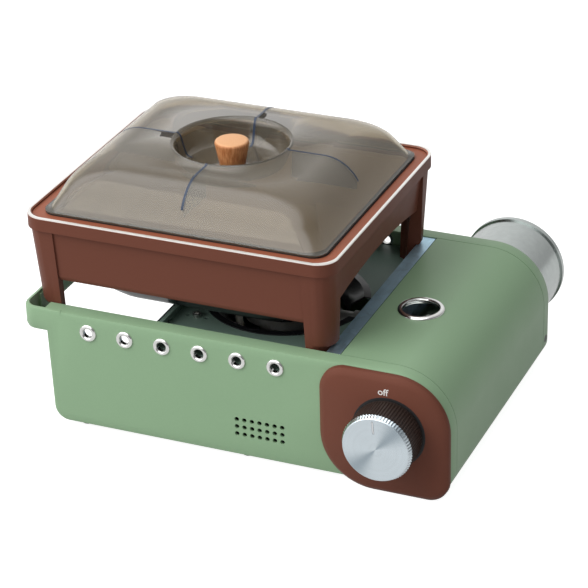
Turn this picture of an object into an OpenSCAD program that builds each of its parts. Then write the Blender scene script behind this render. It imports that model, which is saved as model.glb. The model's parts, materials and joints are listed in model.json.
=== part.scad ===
// Butane cassette stove with a lift-off hot pan and a clear lid.
// The stove stands on z = 0. +X is to the right seen from the knob side, and -Y is the knob side.
// The origin is the middle of the whole object's outline on the table.

/* [Stove body] */
// Width over the left ear and the right side
stove_w = 283; // [270:1:300]
// Depth from the front panel's face to the rear panel's face
stove_d = 187; // [180:1:200]
// Height of the panels, from their bottom edge to their top edge
body_h = 77.5; // [76:0.5:84]
// Height of the rubber feet below the panels
foot_h = 3.8; // [3.6:0.2:6]
// Sheet thickness of the front and rear panels
panel_t = 1.5; // [1.2:0.1:1.6]
// Depth of the rim that the panels fold back all round
rim_d = 10; // [9:0.5:10]
// Rounding of the front panel's outer edge
edge_r = 2.5; // [1:0.5:3]
// Rounding of the rear panel's outer edge
rear_edge_r = 1.2; // [0.8:0.2:1.4]
// Radius of the big upper right corner, which runs round the cartridge
top_corner_r = 37; // [37:0.5:39]
// Radius of the lower right corner
low_corner_r = 13; // [10:1:16]
// Radius of the lower left corner
left_corner_r = 10; // [6:1:14]
// How far the left edge leans in towards the bottom
left_lean = 2.2; // [0:0.2:4]
// How far the upper left ear stands out past the lower body
ear_w = 16.5; // [14:0.5:18]
// Height of the ear and of the left rail
ear_h = 16; // [15:0.5:18]
// Plan radius of the ear's corner
ear_r = 10; // [6:1:12]
// Thickness of the ear's and the rail's wall
ear_t = 2.4; // [2:0.2:3]

/* [Eyelets and vents] */
// Number of eyelets in each row
eyelet_n = 6; // [3:1:6]
// Distance between eyelets
eyelet_pitch = 25; // [20:0.5:26]
// First eyelet's distance from the ear's outer edge
eyelet_first = 46.5; // [40:0.5:50]
// Eyelet centres below the top edge
eyelet_drop = 11.3; // [10:0.1:14]
// Outer diameter of an eyelet
eyelet_d = 11.4; // [10:0.2:13]
// Inner diameter of an eyelet
eyelet_bore = 6; // [4.5:0.5:7]
// Columns of round vents
vent_cols = 7; // [3:1:9]
// Rows of round vents
vent_rows = 3; // [1:1:4]
// Distance between vents
vent_pitch = 5; // [4.5:0.1:5.5]
// Diameter of a vent
vent_d = 3; // [2:0.2:3.4]
// First vent column's distance from the ear's outer edge
vent_first = 145; // [120:1:150]
// Top vent row's height above the panel's bottom edge
vent_top = 25.4; // [20:0.2:34]

/* [Cartridge bay] */
// Sheet thickness of the cartridge cover
cover_t = 1.2; // [0.8:0.1:1.4]
// Distance from the ear's outer edge to the partition wall
bay_left = 200.1; // [199:0.1:202]
// Sheet thickness of the chassis and the partition
chassis_t = 1; // [0.8:0.1:1.2]
// Width of the partition's top flange
strip_w = 9; // [8:0.5:10]
// Seam between the cover and its neighbours
seam = 0.4; // [0.2:0.1:0.6]
// Outer diameter of the sight ring in the cover
sight_d = 29.4; // [26:0.2:32]
// Inner diameter of the sight ring
sight_bore = 24; // [18:0.5:25]
// Sight ring's distance from the front panel's face
sight_y = 80; // [70:1:100]
// Sight ring's distance from the ear's outer edge
sight_x = 234.6; // [225:0.5:240]

/* [Cartridge] */
// Diameter of the seamed rims of the gas cartridge
can_rim_d = 68; // [66:0.2:68.4]
// Diameter of the cartridge's straight wall
can_d = 66; // [64:0.2:66.2]
// Length from the base rim to the face of the collar
can_len = 187; // [180:1:190]
// How far the cartridge stands out behind the rear panel
can_out = 42; // [38:1:45]
// Running gap round the cartridge in the rear opening
can_gap = 1; // [0.6:0.1:1.2]

/* [Knob] */
// Diameter of the knob's metal face
knob_d = 44.2; // [40:0.2:46]
// How far the knob stands out from the front panel's face
knob_out = 28; // [24:1:30]
// Thickness of the metal face
knob_face_t = 3.2; // [2:0.2:4]
// Number of grip ribs on the skirt
knob_ribs = 72; // [36:4:90]
// Width of the brown knob panel
leaf_w = 82; // [78:0.5:82]
// Height of the knob panel
leaf_h = 80; // [76:0.5:80]
// Thickness of the knob panel
leaf_t = 6; // [4:0.5:7]
// Bevel round the knob panel
leaf_bevel = 3.6; // [2:0.2:4]
// How far the knob panel reaches below the front panel
leaf_drop = 3.2; // [1:0.2:3.2]
// Diameter of the valve spindle
spindle_d = 8; // [6:0.5:9]

/* [Pan] */
// Width of the pan over its rim
pan_w = 204; // [196:0.5:204]
// Depth of the pan over its rim
pan_d = 180.5; // [172:0.5:180.5]
// Pan's front edge behind the front panel's face
pan_front = 3.25; // [3.25:0.25:6]
// Pan's left edge inside the ear's outer edge
pan_left = 3.1; // [2.5:0.1:3.2]
// Height of the rim above the legs' ends
pan_h = 74; // [70:0.5:80]
// Corner radius of the rim
pan_r = 13; // [12:1:20]
// Height of the rim's skirt
skirt_h = 8; // [6:0.5:12]
// Inset of the walls below the skirt
skirt_in = 2.4; // [1.5:0.1:3]
// Height of the walls, from the rim to their lower edge
wall_h = 43.5; // [38:0.5:44]
// Height of the side walls at their middle, where they arch
side_wall_h = 28.5; // [26:0.5:32]
// Wall thickness of the pan's frame
frame_t = 2.6; // [2:0.1:3]
// Width of a leg at its top
leg_w = 18.5; // [16:0.5:20]
// How far a leg leans in at the front and rear, from the rim to its end
leg_lean = 7.4; // [7.2:0.1:8]
// How far a leg leans in sideways above its shoulder
leg_side_lean = 1.6; // [1:0.1:3]
// Wall thickness of a leg
leg_t = 4.5; // [3.5:0.5:5]
// Width of the flat flange inside the rim
flange_w = 13.4; // [13:0.2:15]
// Depth of the cooking vessel below the rim
vessel_depth = 60.5; // [56:0.5:62]
// Width of the vessel's flat bottom
vessel_w = 146; // [140:1:150]
// Depth of the vessel's flat bottom from front to rear
vessel_d = 124; // [110:1:140]
// Corner radius of the vessel's flat bottom
vessel_r = 32; // [20:1:40]
// Wall thickness of the vessel
vessel_t = 2.4; // [2:0.1:3]

/* [Lid] */
// Lid's edge inside the pan's rim
lid_in = 9.2; // [8.6:0.2:9.6]
// Width of the lid's flat edge outside its dome
lid_flange_w = 3.4; // [3:0.1:3.6]
// Height of the dome above the rim
lid_h = 27.6; // [26:0.1:32]
// Rounding of the dome's sides
lid_side_r = 24; // [18:1:25]
// How much further the dome leans in at left and right
lid_lean = 4.5; // [0:0.5:6]
// Wall thickness of the clear lid
lid_t = 2.6; // [2.2:0.1:3]
// Corner radius of the lid's edge
lid_r = 9; // [6:0.5:12]
// Radius of the round recess at its ring
well_r = 37.4; // [34:0.2:40]
// Height of the ring above the dome
ring_h = 1.1; // [0.6:0.1:2]
// Depth of the round recess
well_depth = 16.5; // [14:0.5:18]
// Height of the four ribs below the dome
rib_h = 20; // [10:0.5:22]
// Thickness of the ribs
rib_t = 1.8; // [1.4:0.1:3]
// Diameter of the wooden knob's top
wood_d = 22; // [18:0.5:26]
// Diameter of the wooden knob's foot
wood_foot_d = 15.5; // [12:0.5:18]
// Thickness of the black lid seal
seal_t = 1.2; // [1:0.1:1.6]

/* [Burner] */
// Tray floor above the panels' bottom edge
tray_z = 63; // [60:0.5:64]
// Height of the tray's lip above its floor
tray_lip = 5; // [3:0.5:7]
// Tray's left edge from the ear's outer edge
tray_left = 81; // [76:0.5:84]
// Burner's distance from the ear's outer edge
burner_left = 140; // [138:0.5:142]
// Radius of the burner opening in the tray
burner_hole_r = 50; // [46:0.5:50]
// Radius of the burner head
burner_r = 29; // [24:0.5:31]
// Height of the burner's top above the tray floor
burner_rise = 3; // [2:0.5:5]
// Outer diameter of the mixing tube
tube_d = 16; // [12:0.5:16]

/* [Hidden] */
$fn = 64;

// Small clearance between fixed parts
fit_gap = 0.3;
// Radial clearance of turning and sliding fits
run_gap = 0.05;
// Overlap that a cut needs past a face
cut = 1;

left_x = -stove_w / 2;
right_x = stove_w / 2;
front_y = knob_out - (knob_out + stove_d + can_out) / 2;
rear_y = front_y + stove_d;
base_z = foot_h;
top_z = foot_h + body_h;

wall_x = left_x + bay_left;
cover_x = wall_x + strip_w + seam;
body_x = left_x + ear_w;
axis_x = right_x - top_corner_r;
axis_z = top_z - top_corner_r;
floor_z = base_z + panel_t;
foot_rim_d = 17;
foot_rim_right = axis_x - 4;

eyelet_x = left_x + eyelet_first;
eyelet_z = top_z - eyelet_drop;
eyelet_neck_r = eyelet_bore / 2 + 1.2;

tray_top = base_z + tray_z;
tray_t = 1;
tray_x = left_x + tray_left;
seat_z = tray_top;

pan_x = left_x + pan_left + pan_w / 2;
pan_y = front_y + pan_front + pan_d / 2;
rim_z = seat_z + pan_h;
skirt_z = rim_z - skirt_h;
wall_z = rim_z - wall_h;
vessel_side_z = rim_z - 40;
left_shoulder_z = top_z - 3;
right_shoulder_z = top_z - 0.1;
bead_w = 1.6;
bead_h = 0.9;
flange_t = 2.4;
flange_z = rim_z - 1;

lid_w = pan_w - 2 * lid_in;
lid_d = pan_d - 2 * lid_in;
seal_z = flange_z;
lid_z = seal_z + seal_t;
dome_z = rim_z + lid_h;
lid_top = dome_z + ring_h;

tube_z = tray_top - tube_d / 2 - 4;
burner_top = tray_top + burner_rise;
burner_x = left_x + burner_left;
spark_turn = 225;
spark_r = burner_r + 4;

can_rear = rear_y + can_out;
can_front = can_rear - can_len;
can_seam = 3.5;
can_shoulder = 20;
collar_d = 35;
collar_len = 6;

knob_back = front_y - leaf_t - 0.6;
knob_front = front_y - knob_out;
reg_front = front_y + 7;
reg_back = can_front - 2.8;
reg_r = 18;
needle_r = 1.5;
needle_travel = 0.8;

// ---------- shared shapes ----------

// Extrudes an outline that is drawn in X and Z along +Y
module along_y(y0, len) {
    translate([0, y0 + len, 0]) rotate([90, 0, 0]) linear_extrude(len) children();
}

// Turns a profile drawn as (radius, distance) about an axis along +Y through x, z
module about_y(x, y, z) {
    translate([x, y, z]) rotate([-90, 0, 0]) rotate_extrude() children();
}

// A bar of round section between two points
module rod(a, b, r) {
    v = b - a;
    len = norm(v);
    tilt = acos(v[2] / len);
    turn = atan2(v[1], v[0]);
    translate(a) rotate([0, tilt, turn]) cylinder(r = r, h = len);
}

// A bent wire or pipe along a list of points
module bent_rod(points, r) {
    for (i = [0 : len(points) - 2]) rod(points[i], points[i + 1], r);
    for (i = [1 : len(points) - 2]) translate(points[i]) rotate([17, 31, 0]) sphere(r = r * 1.12);
}

// Rectangle with round corners, drawn about its centre
module round_rect(w, d, r) {
    square([w - 2 * r, d], center = true);
    square([w, d - 2 * r], center = true);
    for (x = [-1, 1], y = [-1, 1]) translate([x * (w / 2 - r), y * (d / 2 - r)]) circle(r = r);
}

// The part of the body's outline round the cartridge, inset by d
module bay_outline(d) {
    x_top = right_x - top_corner_r;
    x_low = right_x - low_corner_r;
    translate([cover_x, base_z + d]) square([x_low - cover_x, body_h - low_corner_r]);
    translate([cover_x, axis_z]) square([x_top - cover_x, top_corner_r - d]);
    translate([cover_x, base_z + low_corner_r])
        square([right_x - d - cover_x, axis_z - base_z - low_corner_r]);
    translate([x_low, base_z + low_corner_r]) circle(r = low_corner_r - d);
    intersection() {
        translate([x_top, axis_z]) circle(r = top_corner_r - d, $fn = 96);
        translate([cover_x, base_z + d]) square([stove_w, stove_w]);
    }
}

// The whole lower body's outline, inset by d, without the ear
module body_outline(d) {
    hull() {
        translate([right_x - low_corner_r, base_z + low_corner_r]) circle(r = low_corner_r - d);
        translate([axis_x, axis_z]) circle(r = top_corner_r - d, $fn = 96);
        translate([body_x + left_lean + left_corner_r, base_z + left_corner_r])
            circle(r = left_corner_r - d);
        translate([body_x + d, top_z - d - 1]) square([1, 1]);
    }
}

// A block that is the body's outline with its outer edge rounded at y0, towards dir
module rounded_block(y0, depth, dir, r) {
    slice = 0.2;
    hull() {
        for (k = [[0, slice, r], [r * 0.29, slice, r * 0.29], [r, depth - r, 0]])
            along_y(dir > 0 ? y0 + k[0] : y0 - k[0] - k[1], k[1]) body_outline(k[2]);
    }
}

// Plan of the corner ear that carries a leg pocket, inset by d
module ear_plan(d, depth) {
    w = ear_w + left_lean + 9;
    translate([left_x + d, front_y + ear_r]) square([w - d, depth - ear_r]);
    translate([left_x + ear_r, front_y + d]) square([w - ear_r, depth - d]);
    translate([left_x + ear_r, front_y + ear_r]) circle(r = ear_r - d);
}

// Corner ear with the floor that a pan leg stands on
module front_ear(depth, r) {
    z0 = top_z - ear_h;
    difference() {
        hull() {
            translate([0, 0, z0]) linear_extrude(0.2) ear_plan(2.4, depth);
            translate([0, 0, z0 + 0.9]) linear_extrude(0.2) ear_plan(0.8, depth);
            translate([0, 0, z0 + 3]) linear_extrude(ear_h - 3 - r) ear_plan(0, depth);
            translate([0, 0, top_z - 0.29 * r - 0.2]) linear_extrude(0.2) ear_plan(0.29 * r, depth);
            translate([0, 0, top_z - 0.2]) linear_extrude(0.2) ear_plan(r, depth);
        }
        translate([0, 0, seat_z]) linear_extrude(body_h) difference() {
            ear_plan(ear_t, depth + cut);
            translate([body_x, front_y - cut]) square([ear_w * 3, rim_d + cut]);
        }
    }
}

// Pressed panel: a face with a rim folded back all round, open behind
module panel_shell(y0, dir, r) {
    inner = panel_t;
    difference() {
        rounded_block(y0, rim_d, dir, r);
        along_y(dir > 0 ? y0 + inner : y0 - rim_d - cut, rim_d + cut - inner) body_outline(inner);
    }
}

module eyelet_holes(y0) {
    for (i = [0 : eyelet_n - 1])
        translate([eyelet_x + i * eyelet_pitch, y0 - 5, eyelet_z]) rotate([-90, 0, 0])
            cylinder(r = eyelet_neck_r + 0.1, h = 10);
}

// Holes in the panels' lower rims for the feet and the base screws
module base_holes() {
    for (x = foot_xs, y = [front_y + foot_y, rear_y - foot_y])
        translate([x, y, base_z - cut]) cylinder(r = 2.1, h = panel_t + 2 * cut, $fn = 32);
    for (x = screw_xs, y = [front_y + screw_y, rear_y - screw_y])
        translate([x, y, base_z - cut]) cylinder(r = 1.6, h = panel_t + 2 * cut, $fn = 32);
}

// ---------- stove body ----------

module front_panel() {
    color([0.58, 0.69, 0.57]) difference() {
        union() {
            panel_shell(front_y, 1, edge_r);
            front_ear(ear_depth_front, ear_t - 0.8);
            translate([body_x + 10, front_y + rim_d - cut, base_z])
                cube([foot_rim_right - body_x - 10, foot_rim_d - rim_d + cut, panel_t]);
        }
        eyelet_holes(front_y);
        base_holes();
        for (c = [0 : vent_cols - 1], r = [0 : vent_rows - 1])
            translate([left_x + vent_first + c * vent_pitch, front_y - cut,
                       base_z + vent_top - r * vent_pitch])
                rotate([-90, 0, 0]) cylinder(d = vent_d, h = panel_t + 2 * cut, $fn = 20);
        translate([axis_x, front_y - cut, axis_z]) rotate([-90, 0, 0])
            cylinder(r = spindle_d / 2 + 1.5, h = panel_t + 2 * cut);
    }
}

ear_depth_front = pan_front + skirt_in + leg_w + 4;
ear_depth_rear = stove_d - pan_front - pan_d + skirt_in + leg_w + 4;

module rear_panel() {
    color([0.5, 0.62, 0.5]) difference() {
        union() {
            panel_shell(rear_y, -1, rear_edge_r);
            translate([0, front_y + rear_y, 0]) mirror([0, 1, 0]) front_ear(ear_depth_rear, rear_edge_r);
            translate([body_x + 10, rear_y - foot_rim_d, base_z])
                cube([foot_rim_right - body_x - 10, foot_rim_d - rim_d + cut, panel_t]);
        }
        eyelet_holes(rear_y);
        base_holes();
        translate([axis_x, rear_y - panel_t - cut, axis_z]) rotate([-90, 0, 0])
            cylinder(r = can_rim_d / 2 + can_gap, h = panel_t + 2 * cut, $fn = 96);
        translate([right_x - panel_t - 4, rear_y - rim_d / 2, base_z + side_screw_z])
            rotate([0, 90, 0]) {
                cylinder(r = 1.35, h = panel_t + 5);
                translate([0, 0, panel_t + 2.75]) cylinder(r1 = 1.35, r2 = 2.7, h = 1.3);
            }
    }
}

module left_rail() {
    y0 = front_y + ear_depth_front + seam;
    y1 = rear_y - ear_depth_rear - seam;
    lap = 8;
    color([0.5, 0.62, 0.5]) {
        translate([left_x, y0, top_z - ear_h]) cube([ear_t, y1 - y0, ear_h]);
        translate([left_x + ear_t, y0, seat_z + 1]) cube([1.2, y1 - y0, top_z - seat_z - 3]);
        for (y = [y0 - lap, y1 - 1])
            translate([left_x + ear_t, y, seat_z + 1]) cube([1.2, lap + 1, top_z - seat_z - 3]);
    }
}

module rubber_feet() {
    color([0.1, 0.1, 0.1])
        for (x = foot_xs, y = [front_y + foot_y, rear_y - foot_y])
            translate([x, y, 0]) {
                cylinder(r1 = 4, r2 = 5, h = base_z);
                translate([0, 0, base_z - cut]) cylinder(r = 2, h = panel_t + cut);
            }
}

side_screw_z = 15;
side_screw_r = 1.3;
foot_y = 11;
foot_xs = [left_x + 37, left_x + 147.5, axis_x - 12];

module knob_panel() {
    x1 = right_x - 0.2;
    x0 = x1 - leaf_w;
    z0 = base_z - leaf_drop;
    z1 = z0 + leaf_h;
    radii = [34, 14, 34, 16.5];
    color([0.44, 0.28, 0.22]) difference() {
        hull() {
            for (k = [[0, 0], [leaf_t - 3.4, 0.2], [leaf_t - 2.9, 0.6], [leaf_t, leaf_bevel + 0.6]])
                along_y(front_y - k[0] - 0.01, 0.01) {
                    d = k[1];
                    translate([x0 + radii[0], z0 + radii[0]]) circle(r = radii[0] - d);
                    translate([x1 - radii[1], z0 + radii[1]]) circle(r = radii[1] - d);
                    translate([x1 - radii[2], z1 - radii[2]]) circle(r = radii[2] - d);
                    translate([x0 + radii[3], z1 - radii[3]]) circle(r = radii[3] - d);
                }
        }
        translate([axis_x, front_y - leaf_t - cut, axis_z]) rotate([-90, 0, 0])
            cylinder(r = spindle_d / 2 + 1.5, h = leaf_t + 2 * cut);
    }
}

// ---------- cartridge bay ----------

module cartridge_cover() {
    y0 = front_y + rim_d + seam;
    y1 = rear_y - rim_d - seam;
    lip = 6;
    color([0.5, 0.63, 0.5]) difference() {
        union() {
            along_y(y0, y1 - y0) cover_sheet(0, cover_t);
            for (y = [y0, y1 - 3]) along_y(y, 3) cover_sheet(cover_t / 2, panel_t + 1.1);
            for (y = [y0 - lip, y1 - 3]) along_y(y, lip + 3) cover_sheet(panel_t + 0.1, panel_t + 1.1);
            translate([cover_x, y0, top_z - 7]) cube([cover_t, y1 - y0, 7]);
        }
        translate([left_x + sight_x, front_y + sight_y, top_z - 5])
            cylinder(r = sight_bore / 2 + 1.2, h = 10);
        translate([right_x - panel_t - 4, rear_y - rim_d / 2, base_z + side_screw_z]) rotate([0, 90, 0])
            cylinder(r = side_screw_r + fit_gap / 2, h = 5);
    }
}

// Section of the cover between two insets, open at the left and along most of the bottom
module cover_sheet(d0, d1) {
    difference() {
        bay_outline(d0);
        bay_outline(d1);
        translate([cover_x - cut, base_z - cut])
            square([right_x - low_corner_r - 14 - cover_x + cut, body_h / 2]);
    }
}

module sight_ring() {
    r = sight_d / 2;
    b = sight_bore / 2;
    color([0.8, 0.8, 0.8]) translate([left_x + sight_x, front_y + sight_y, top_z]) rotate_extrude()
        union() {
            translate([b, -cover_t - 0.6]) square([1, cover_t + 1.2]);
            translate([b, 0]) square([r - b - 0.8, 0.8]);
            translate([b + 0.8, 0.8]) circle(r = 0.8, $fn = 24);
            difference() {
                translate([r - 1.6, 0]) circle(r = 1.6, $fn = 24);
                translate([b, -3]) square([r, 3]);
            }
            translate([b, 0.4]) square([r - b - 1.6, 1.2]);
        }
}

module chassis() {
    y0 = front_y + panel_t + fit_gap;
    y1 = rear_y - panel_t - fit_gap;
    wall_top = tray_top - tray_t;
    color([0.6, 0.63, 0.66]) difference() {
        union() {
            translate([tray_x, y0, floor_z]) cube([floor_x - tray_x, y1 - y0, chassis_t]);
            translate([tray_x, y0, floor_z]) cube([chassis_t, y1 - y0, tray_top + tray_lip - floor_z]);
            translate([tray_x, y0, wall_top - chassis_t]) cube([8, y1 - y0, chassis_t]);
        }
        for (x = [foot_xs[1], foot_xs[2]], y = [front_y + foot_y, rear_y - foot_y])
            translate([x, y, floor_z - cut]) cylinder(r = 3, h = chassis_t + 2 * cut);
        for (x = screw_xs, y = [front_y + screw_y, rear_y - screw_y])
            translate([x, y, floor_z - cut]) cylinder(r = 1.6, h = chassis_t + 2 * cut);
    }
}

floor_x = right_x - low_corner_r - 14 - seam;
screw_xs = [tray_x + 14, wall_x - 14, axis_x - 24];
screw_y = 7;

module base_screws() {
    color([0.55, 0.55, 0.57])
        for (x = screw_xs, y = [front_y + screw_y, rear_y - screw_y]) translate([x, y, base_z]) {
            translate([0, 0, -1.6]) cylinder(r1 = 2.2, r2 = 3, h = 1.6);
            cylinder(r = 1.5, h = panel_t + chassis_t + 2);
        }
}

module partition() {
    y0 = front_y + panel_t + fit_gap;
    y1 = rear_y - panel_t - fit_gap;
    z0 = floor_z + chassis_t;
    strip_z = top_z - 0.6;
    color([0.5, 0.55, 0.6]) difference() {
        union() {
            translate([wall_x, y0, z0]) cube([chassis_t, y1 - y0, top_z - panel_t - fit_gap - z0]);
            translate([wall_x, front_y + rim_d + fit_gap, z0])
                cube([chassis_t, stove_d - 2 * rim_d - 2 * fit_gap, strip_z - z0]);
            translate([wall_x, front_y + rim_d + fit_gap, strip_z - chassis_t])
                cube([strip_w, stove_d - 2 * rim_d - 2 * fit_gap, chassis_t]);
            translate([wall_x + strip_w - chassis_t, front_y + rim_d + 8, strip_z - 7])
                cube([chassis_t, stove_d - 2 * rim_d - 16, 7]);
            translate([wall_x, y0, z0]) cube([10, y1 - y0, chassis_t]);
        }
        translate([wall_x - cut, pan_y, tube_z]) rotate([0, 90, 0])
            cylinder(r = tube_d / 2 + 0.3, h = chassis_t + 2 * cut);
        translate([wall_x - cut, wire_y, wire_z]) rotate([0, 90, 0])
            cylinder(r = 3, h = chassis_t + 2 * cut);
    }
}

module cartridge_cradle() {
    r = can_rim_d / 2 + 0.4;
    z0 = floor_z + chassis_t;
    w = 52;
    color([0.62, 0.64, 0.66]) difference() {
        for (y = [can_front + 45, can_front + 115]) along_y(y, 8) difference() {
            translate([axis_x - w / 2, z0]) square([w, axis_z - z0 - 16]);
            translate([axis_x, axis_z]) circle(r = r, $fn = 96);
        }
        for (y = [can_front + 45, can_front + 115])
            translate([axis_x - w / 2 - cut, y + 1.2, z0 + 1.2]) cube([w + 2 * cut, 5.6, 1.8]);
    }
}

module front_eyelets() {
    color([0.85, 0.85, 0.85]) for (i = [0 : eyelet_n - 1])
        about_y(eyelet_x + i * eyelet_pitch, front_y, eyelet_z) eyelet_profile();
}

module rear_eyelets() {
    color([0.85, 0.85, 0.85]) for (i = [0 : eyelet_n - 1])
        translate([0, 2 * rear_y, 0]) mirror([0, 1, 0])
            about_y(eyelet_x + i * eyelet_pitch, rear_y, eyelet_z) eyelet_profile();
}

// Rolled eyelet: a round collar in front of the sheet, a neck and a small roll behind it
module eyelet_profile() {
    b = eyelet_bore / 2;
    r = eyelet_d / 2;
    difference() {
        translate([b + (r - b) / 2, 0]) scale([1, 1]) circle(r = (r - b) / 2, $fn = 32);
        translate([0, 0]) square([r + cut, r]);
    }
    translate([b, -0.4]) square([eyelet_neck_r - b, panel_t + 1]);
    translate([b, panel_t]) square([eyelet_neck_r - b + 0.8, 0.6]);
}

// ---------- valve ----------

module valve_plate() {
    y0 = front_y + panel_t;
    color([0.6, 0.62, 0.64]) difference() {
        translate([axis_x - 25, y0, axis_z - 25]) cube([50, 1.6, 50]);
        translate([axis_x, y0 - cut, axis_z]) rotate([-90, 0, 0])
            cylinder(r = spindle_d / 2 + 1.5, h = 4);
        for (x = [-1, 1], z = [-1, 1])
            translate([axis_x + x * 20, y0 - cut, axis_z + z * 20]) rotate([-90, 0, 0])
                cylinder(r = 1.6, h = 4);
    }
}

module valve_screws() {
    color([0.55, 0.55, 0.57]) for (x = [-1, 1], z = [-1, 1])
        translate([axis_x + x * 20, front_y + panel_t + 1.6, axis_z + z * 20]) rotate([-90, 0, 0]) {
            cylinder(r = 3, h = 2);
            translate([0, 0, -1.6]) cylinder(r = 1.5, h = 2);
        }
}

module regulator() {
    y_seat = front_y + panel_t + 1.6;
    color([0.66, 0.64, 0.58]) difference() {
        union() {
            about_y(axis_x, reg_front, axis_z) {
                square([reg_r, 12]);
                square([reg_r - 4, reg_back - reg_front]);
            }
            for (a = [45, 135, 225, 315]) rotate_about_axis(a)
                translate([12, y_seat, -3]) cube([6, reg_front - y_seat + cut, 6]);
            translate([axis_x - reg_r - 5, reg_front + 6, axis_z]) rotate([0, 90, 0])
                cylinder(r = 4, h = 12);
            about_y(axis_x, y_seat, axis_z) square([8, reg_front - y_seat + cut]);
        }
        translate([axis_x, y_seat - cut, axis_z]) rotate([-90, 0, 0])
            cylinder(r = spindle_d / 2 + run_gap, h = spindle_end - y_seat + cut + 0.4);
        translate([axis_x, spindle_end, axis_z]) rotate([-90, 0, 0])
            cylinder(r = needle_r + run_gap, h = reg_back - spindle_end + cut);
    }
}

spindle_end = reg_front + 8;

module rotate_about_axis(a) {
    translate([axis_x, 0, axis_z]) rotate([0, a, 0]) children();
}

module inlet_magnet() {
    color([0.25, 0.25, 0.27]) about_y(axis_x, reg_back, axis_z) difference() {
        square([16, 2.4]);
        square([9, 2.4]);
    }
}

module inlet_seal() {
    color([0.08, 0.08, 0.08]) about_y(axis_x, reg_back, axis_z) difference() {
        square([6.5, 2.4]);
        square([3.2, 2.4]);
    }
}

module gas_pipe() {
    x1 = axis_x - reg_r - 5;
    xp = wall_x + chassis_t + 5.2;
    yp = reg_front + 6;
    color([0.75, 0.6, 0.3]) bent_rod([
        [x1, yp, axis_z], [xp, yp, axis_z], [xp, yp + 16, tube_z], [xp, pan_y - 5.2, tube_z]
    ], 1.8);
}

module jet_holder() {
    x0 = wall_x + chassis_t + 1;
    color([0.8, 0.66, 0.32]) {
        translate([x0, pan_y, tube_z]) rotate([0, 90, 0]) cylinder(r = 5.2, h = 8.4, $fn = 6);
        translate([x0 - 7, pan_y, tube_z]) rotate([0, 90, 0]) cylinder(r = 2.5, h = 8);
    }
}

// ---------- burner ----------

module mixing_tube() {
    r = tube_d / 2;
    x0 = burner_x + burner_r - 9.5;
    x1 = wall_x + chassis_t;
    color([0.78, 0.78, 0.76]) difference() {
        union() {
            translate([x0, pan_y, tube_z]) rotate([0, 90, 0]) cylinder(r = r, h = x1 - x0);
            translate([x1 - 16, pan_y, tube_z]) rotate([0, 90, 0]) cylinder(r = r + 1.4, h = 3);
            translate([x0 + 12, pan_y, tube_z]) rotate([0, 90, 0]) cylinder(r = r + 1.4, h = 2.5);
        }
        translate([x0 - cut, pan_y, tube_z]) rotate([0, 90, 0])
            cylinder(r = r - 1, h = x1 - x0 + 2 * cut);
        for (a = [0, 180]) translate([x1 - 8, pan_y, tube_z]) rotate([a, 0, 0])
            translate([0, 0, r - 2]) cylinder(r = 3, h = 4);
    }
}

module burner_head() {
    z0 = tube_z - tube_d / 2 - 2;
    z1 = burner_top - 6;
    color([0.3, 0.3, 0.31]) difference() {
        union() {
            translate([burner_x, pan_y, z0]) cylinder(r = burner_r - 8, h = z1 - z0);
            translate([burner_x, pan_y, z1 - 6]) cylinder(r = burner_r, h = 6);
        }
        translate([burner_x, pan_y, z0 + 2]) cylinder(r = burner_r - 10, h = z1 - z0);
        translate([burner_x, pan_y, z1 - 4]) cylinder(r = burner_r - 3, h = 6);
        translate([burner_x, pan_y, tube_z]) rotate([0, 90, 0])
            cylinder(r = tube_d / 2 + run_gap, h = burner_r + cut);
    }
}

module burner_cap() {
    n = 24;
    z1 = burner_top - 6;
    color([0.2, 0.2, 0.21]) difference() {
        union() {
            translate([burner_x, pan_y, z1]) cylinder(r = burner_r, h = 3.4);
            translate([burner_x, pan_y, z1 + 3.4]) cylinder(r1 = burner_r, r2 = burner_r - 7, h = 2.6);
            translate([burner_x, pan_y, z1 - 0.8]) difference() {
                cylinder(r = burner_r - 3.1, h = 2);
                translate([0, 0, -cut]) cylinder(r = burner_r - 6, h = 6);
            }
        }
        for (i = [0 : n - 1]) translate([burner_x, pan_y, z1 - cut]) rotate([0, 0, i * 360 / n])
            translate([burner_r - 2.5, -0.8, 0]) cube([4, 1.6, 2 + cut]);
        translate([burner_x, pan_y, z1 + 1.2]) cylinder(r = burner_r - 14, h = 6);
    }
}

module burner_stand() {
    z0 = floor_z + chassis_t;
    z1 = tube_z - tube_d / 2 - 2;
    w = 14;
    span = 16;
    color([0.6, 0.63, 0.66]) {
        for (s = [-1, 1]) {
            translate([burner_x + s * span - (s > 0 ? 1 : 0), pan_y - w / 2, z0])
                cube([1, w, z1 - z0]);
            translate([burner_x + (s > 0 ? span - 1 : -span - 9), pan_y - w / 2, z0]) cube([10, w, 1]);
        }
        translate([burner_x - span, pan_y - w / 2, z1 - 1]) cube([2 * span, w, 1]);
    }
}

module burner_bowl() {
    z1 = tray_top;
    r0 = burner_r + 8;
    r1 = burner_hole_r - 0.5;
    color([0.05, 0.05, 0.055]) difference() {
        translate([burner_x, pan_y, 0]) rotate_extrude($fn = 96)
            polygon([[r1 + 3.2, z1], [r1 + 3.2, z1 + 0.8], [r1 - 1.2, z1 + 0.8], [r0 + 3.2, z1 - 5.4],
                     [r0, z1 - 11], [r0 + 0.9, z1 - 11], [r0 + 4.1, z1 - 6], [r1 - 0.7, z1]]);
        translate([burner_x + burner_r - 6, pan_y - tube_d / 2 - 5, tube_z - tube_d])
            cube([burner_hole_r, tube_d + 12, 2 * tube_d + 10]);
    }
}

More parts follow.
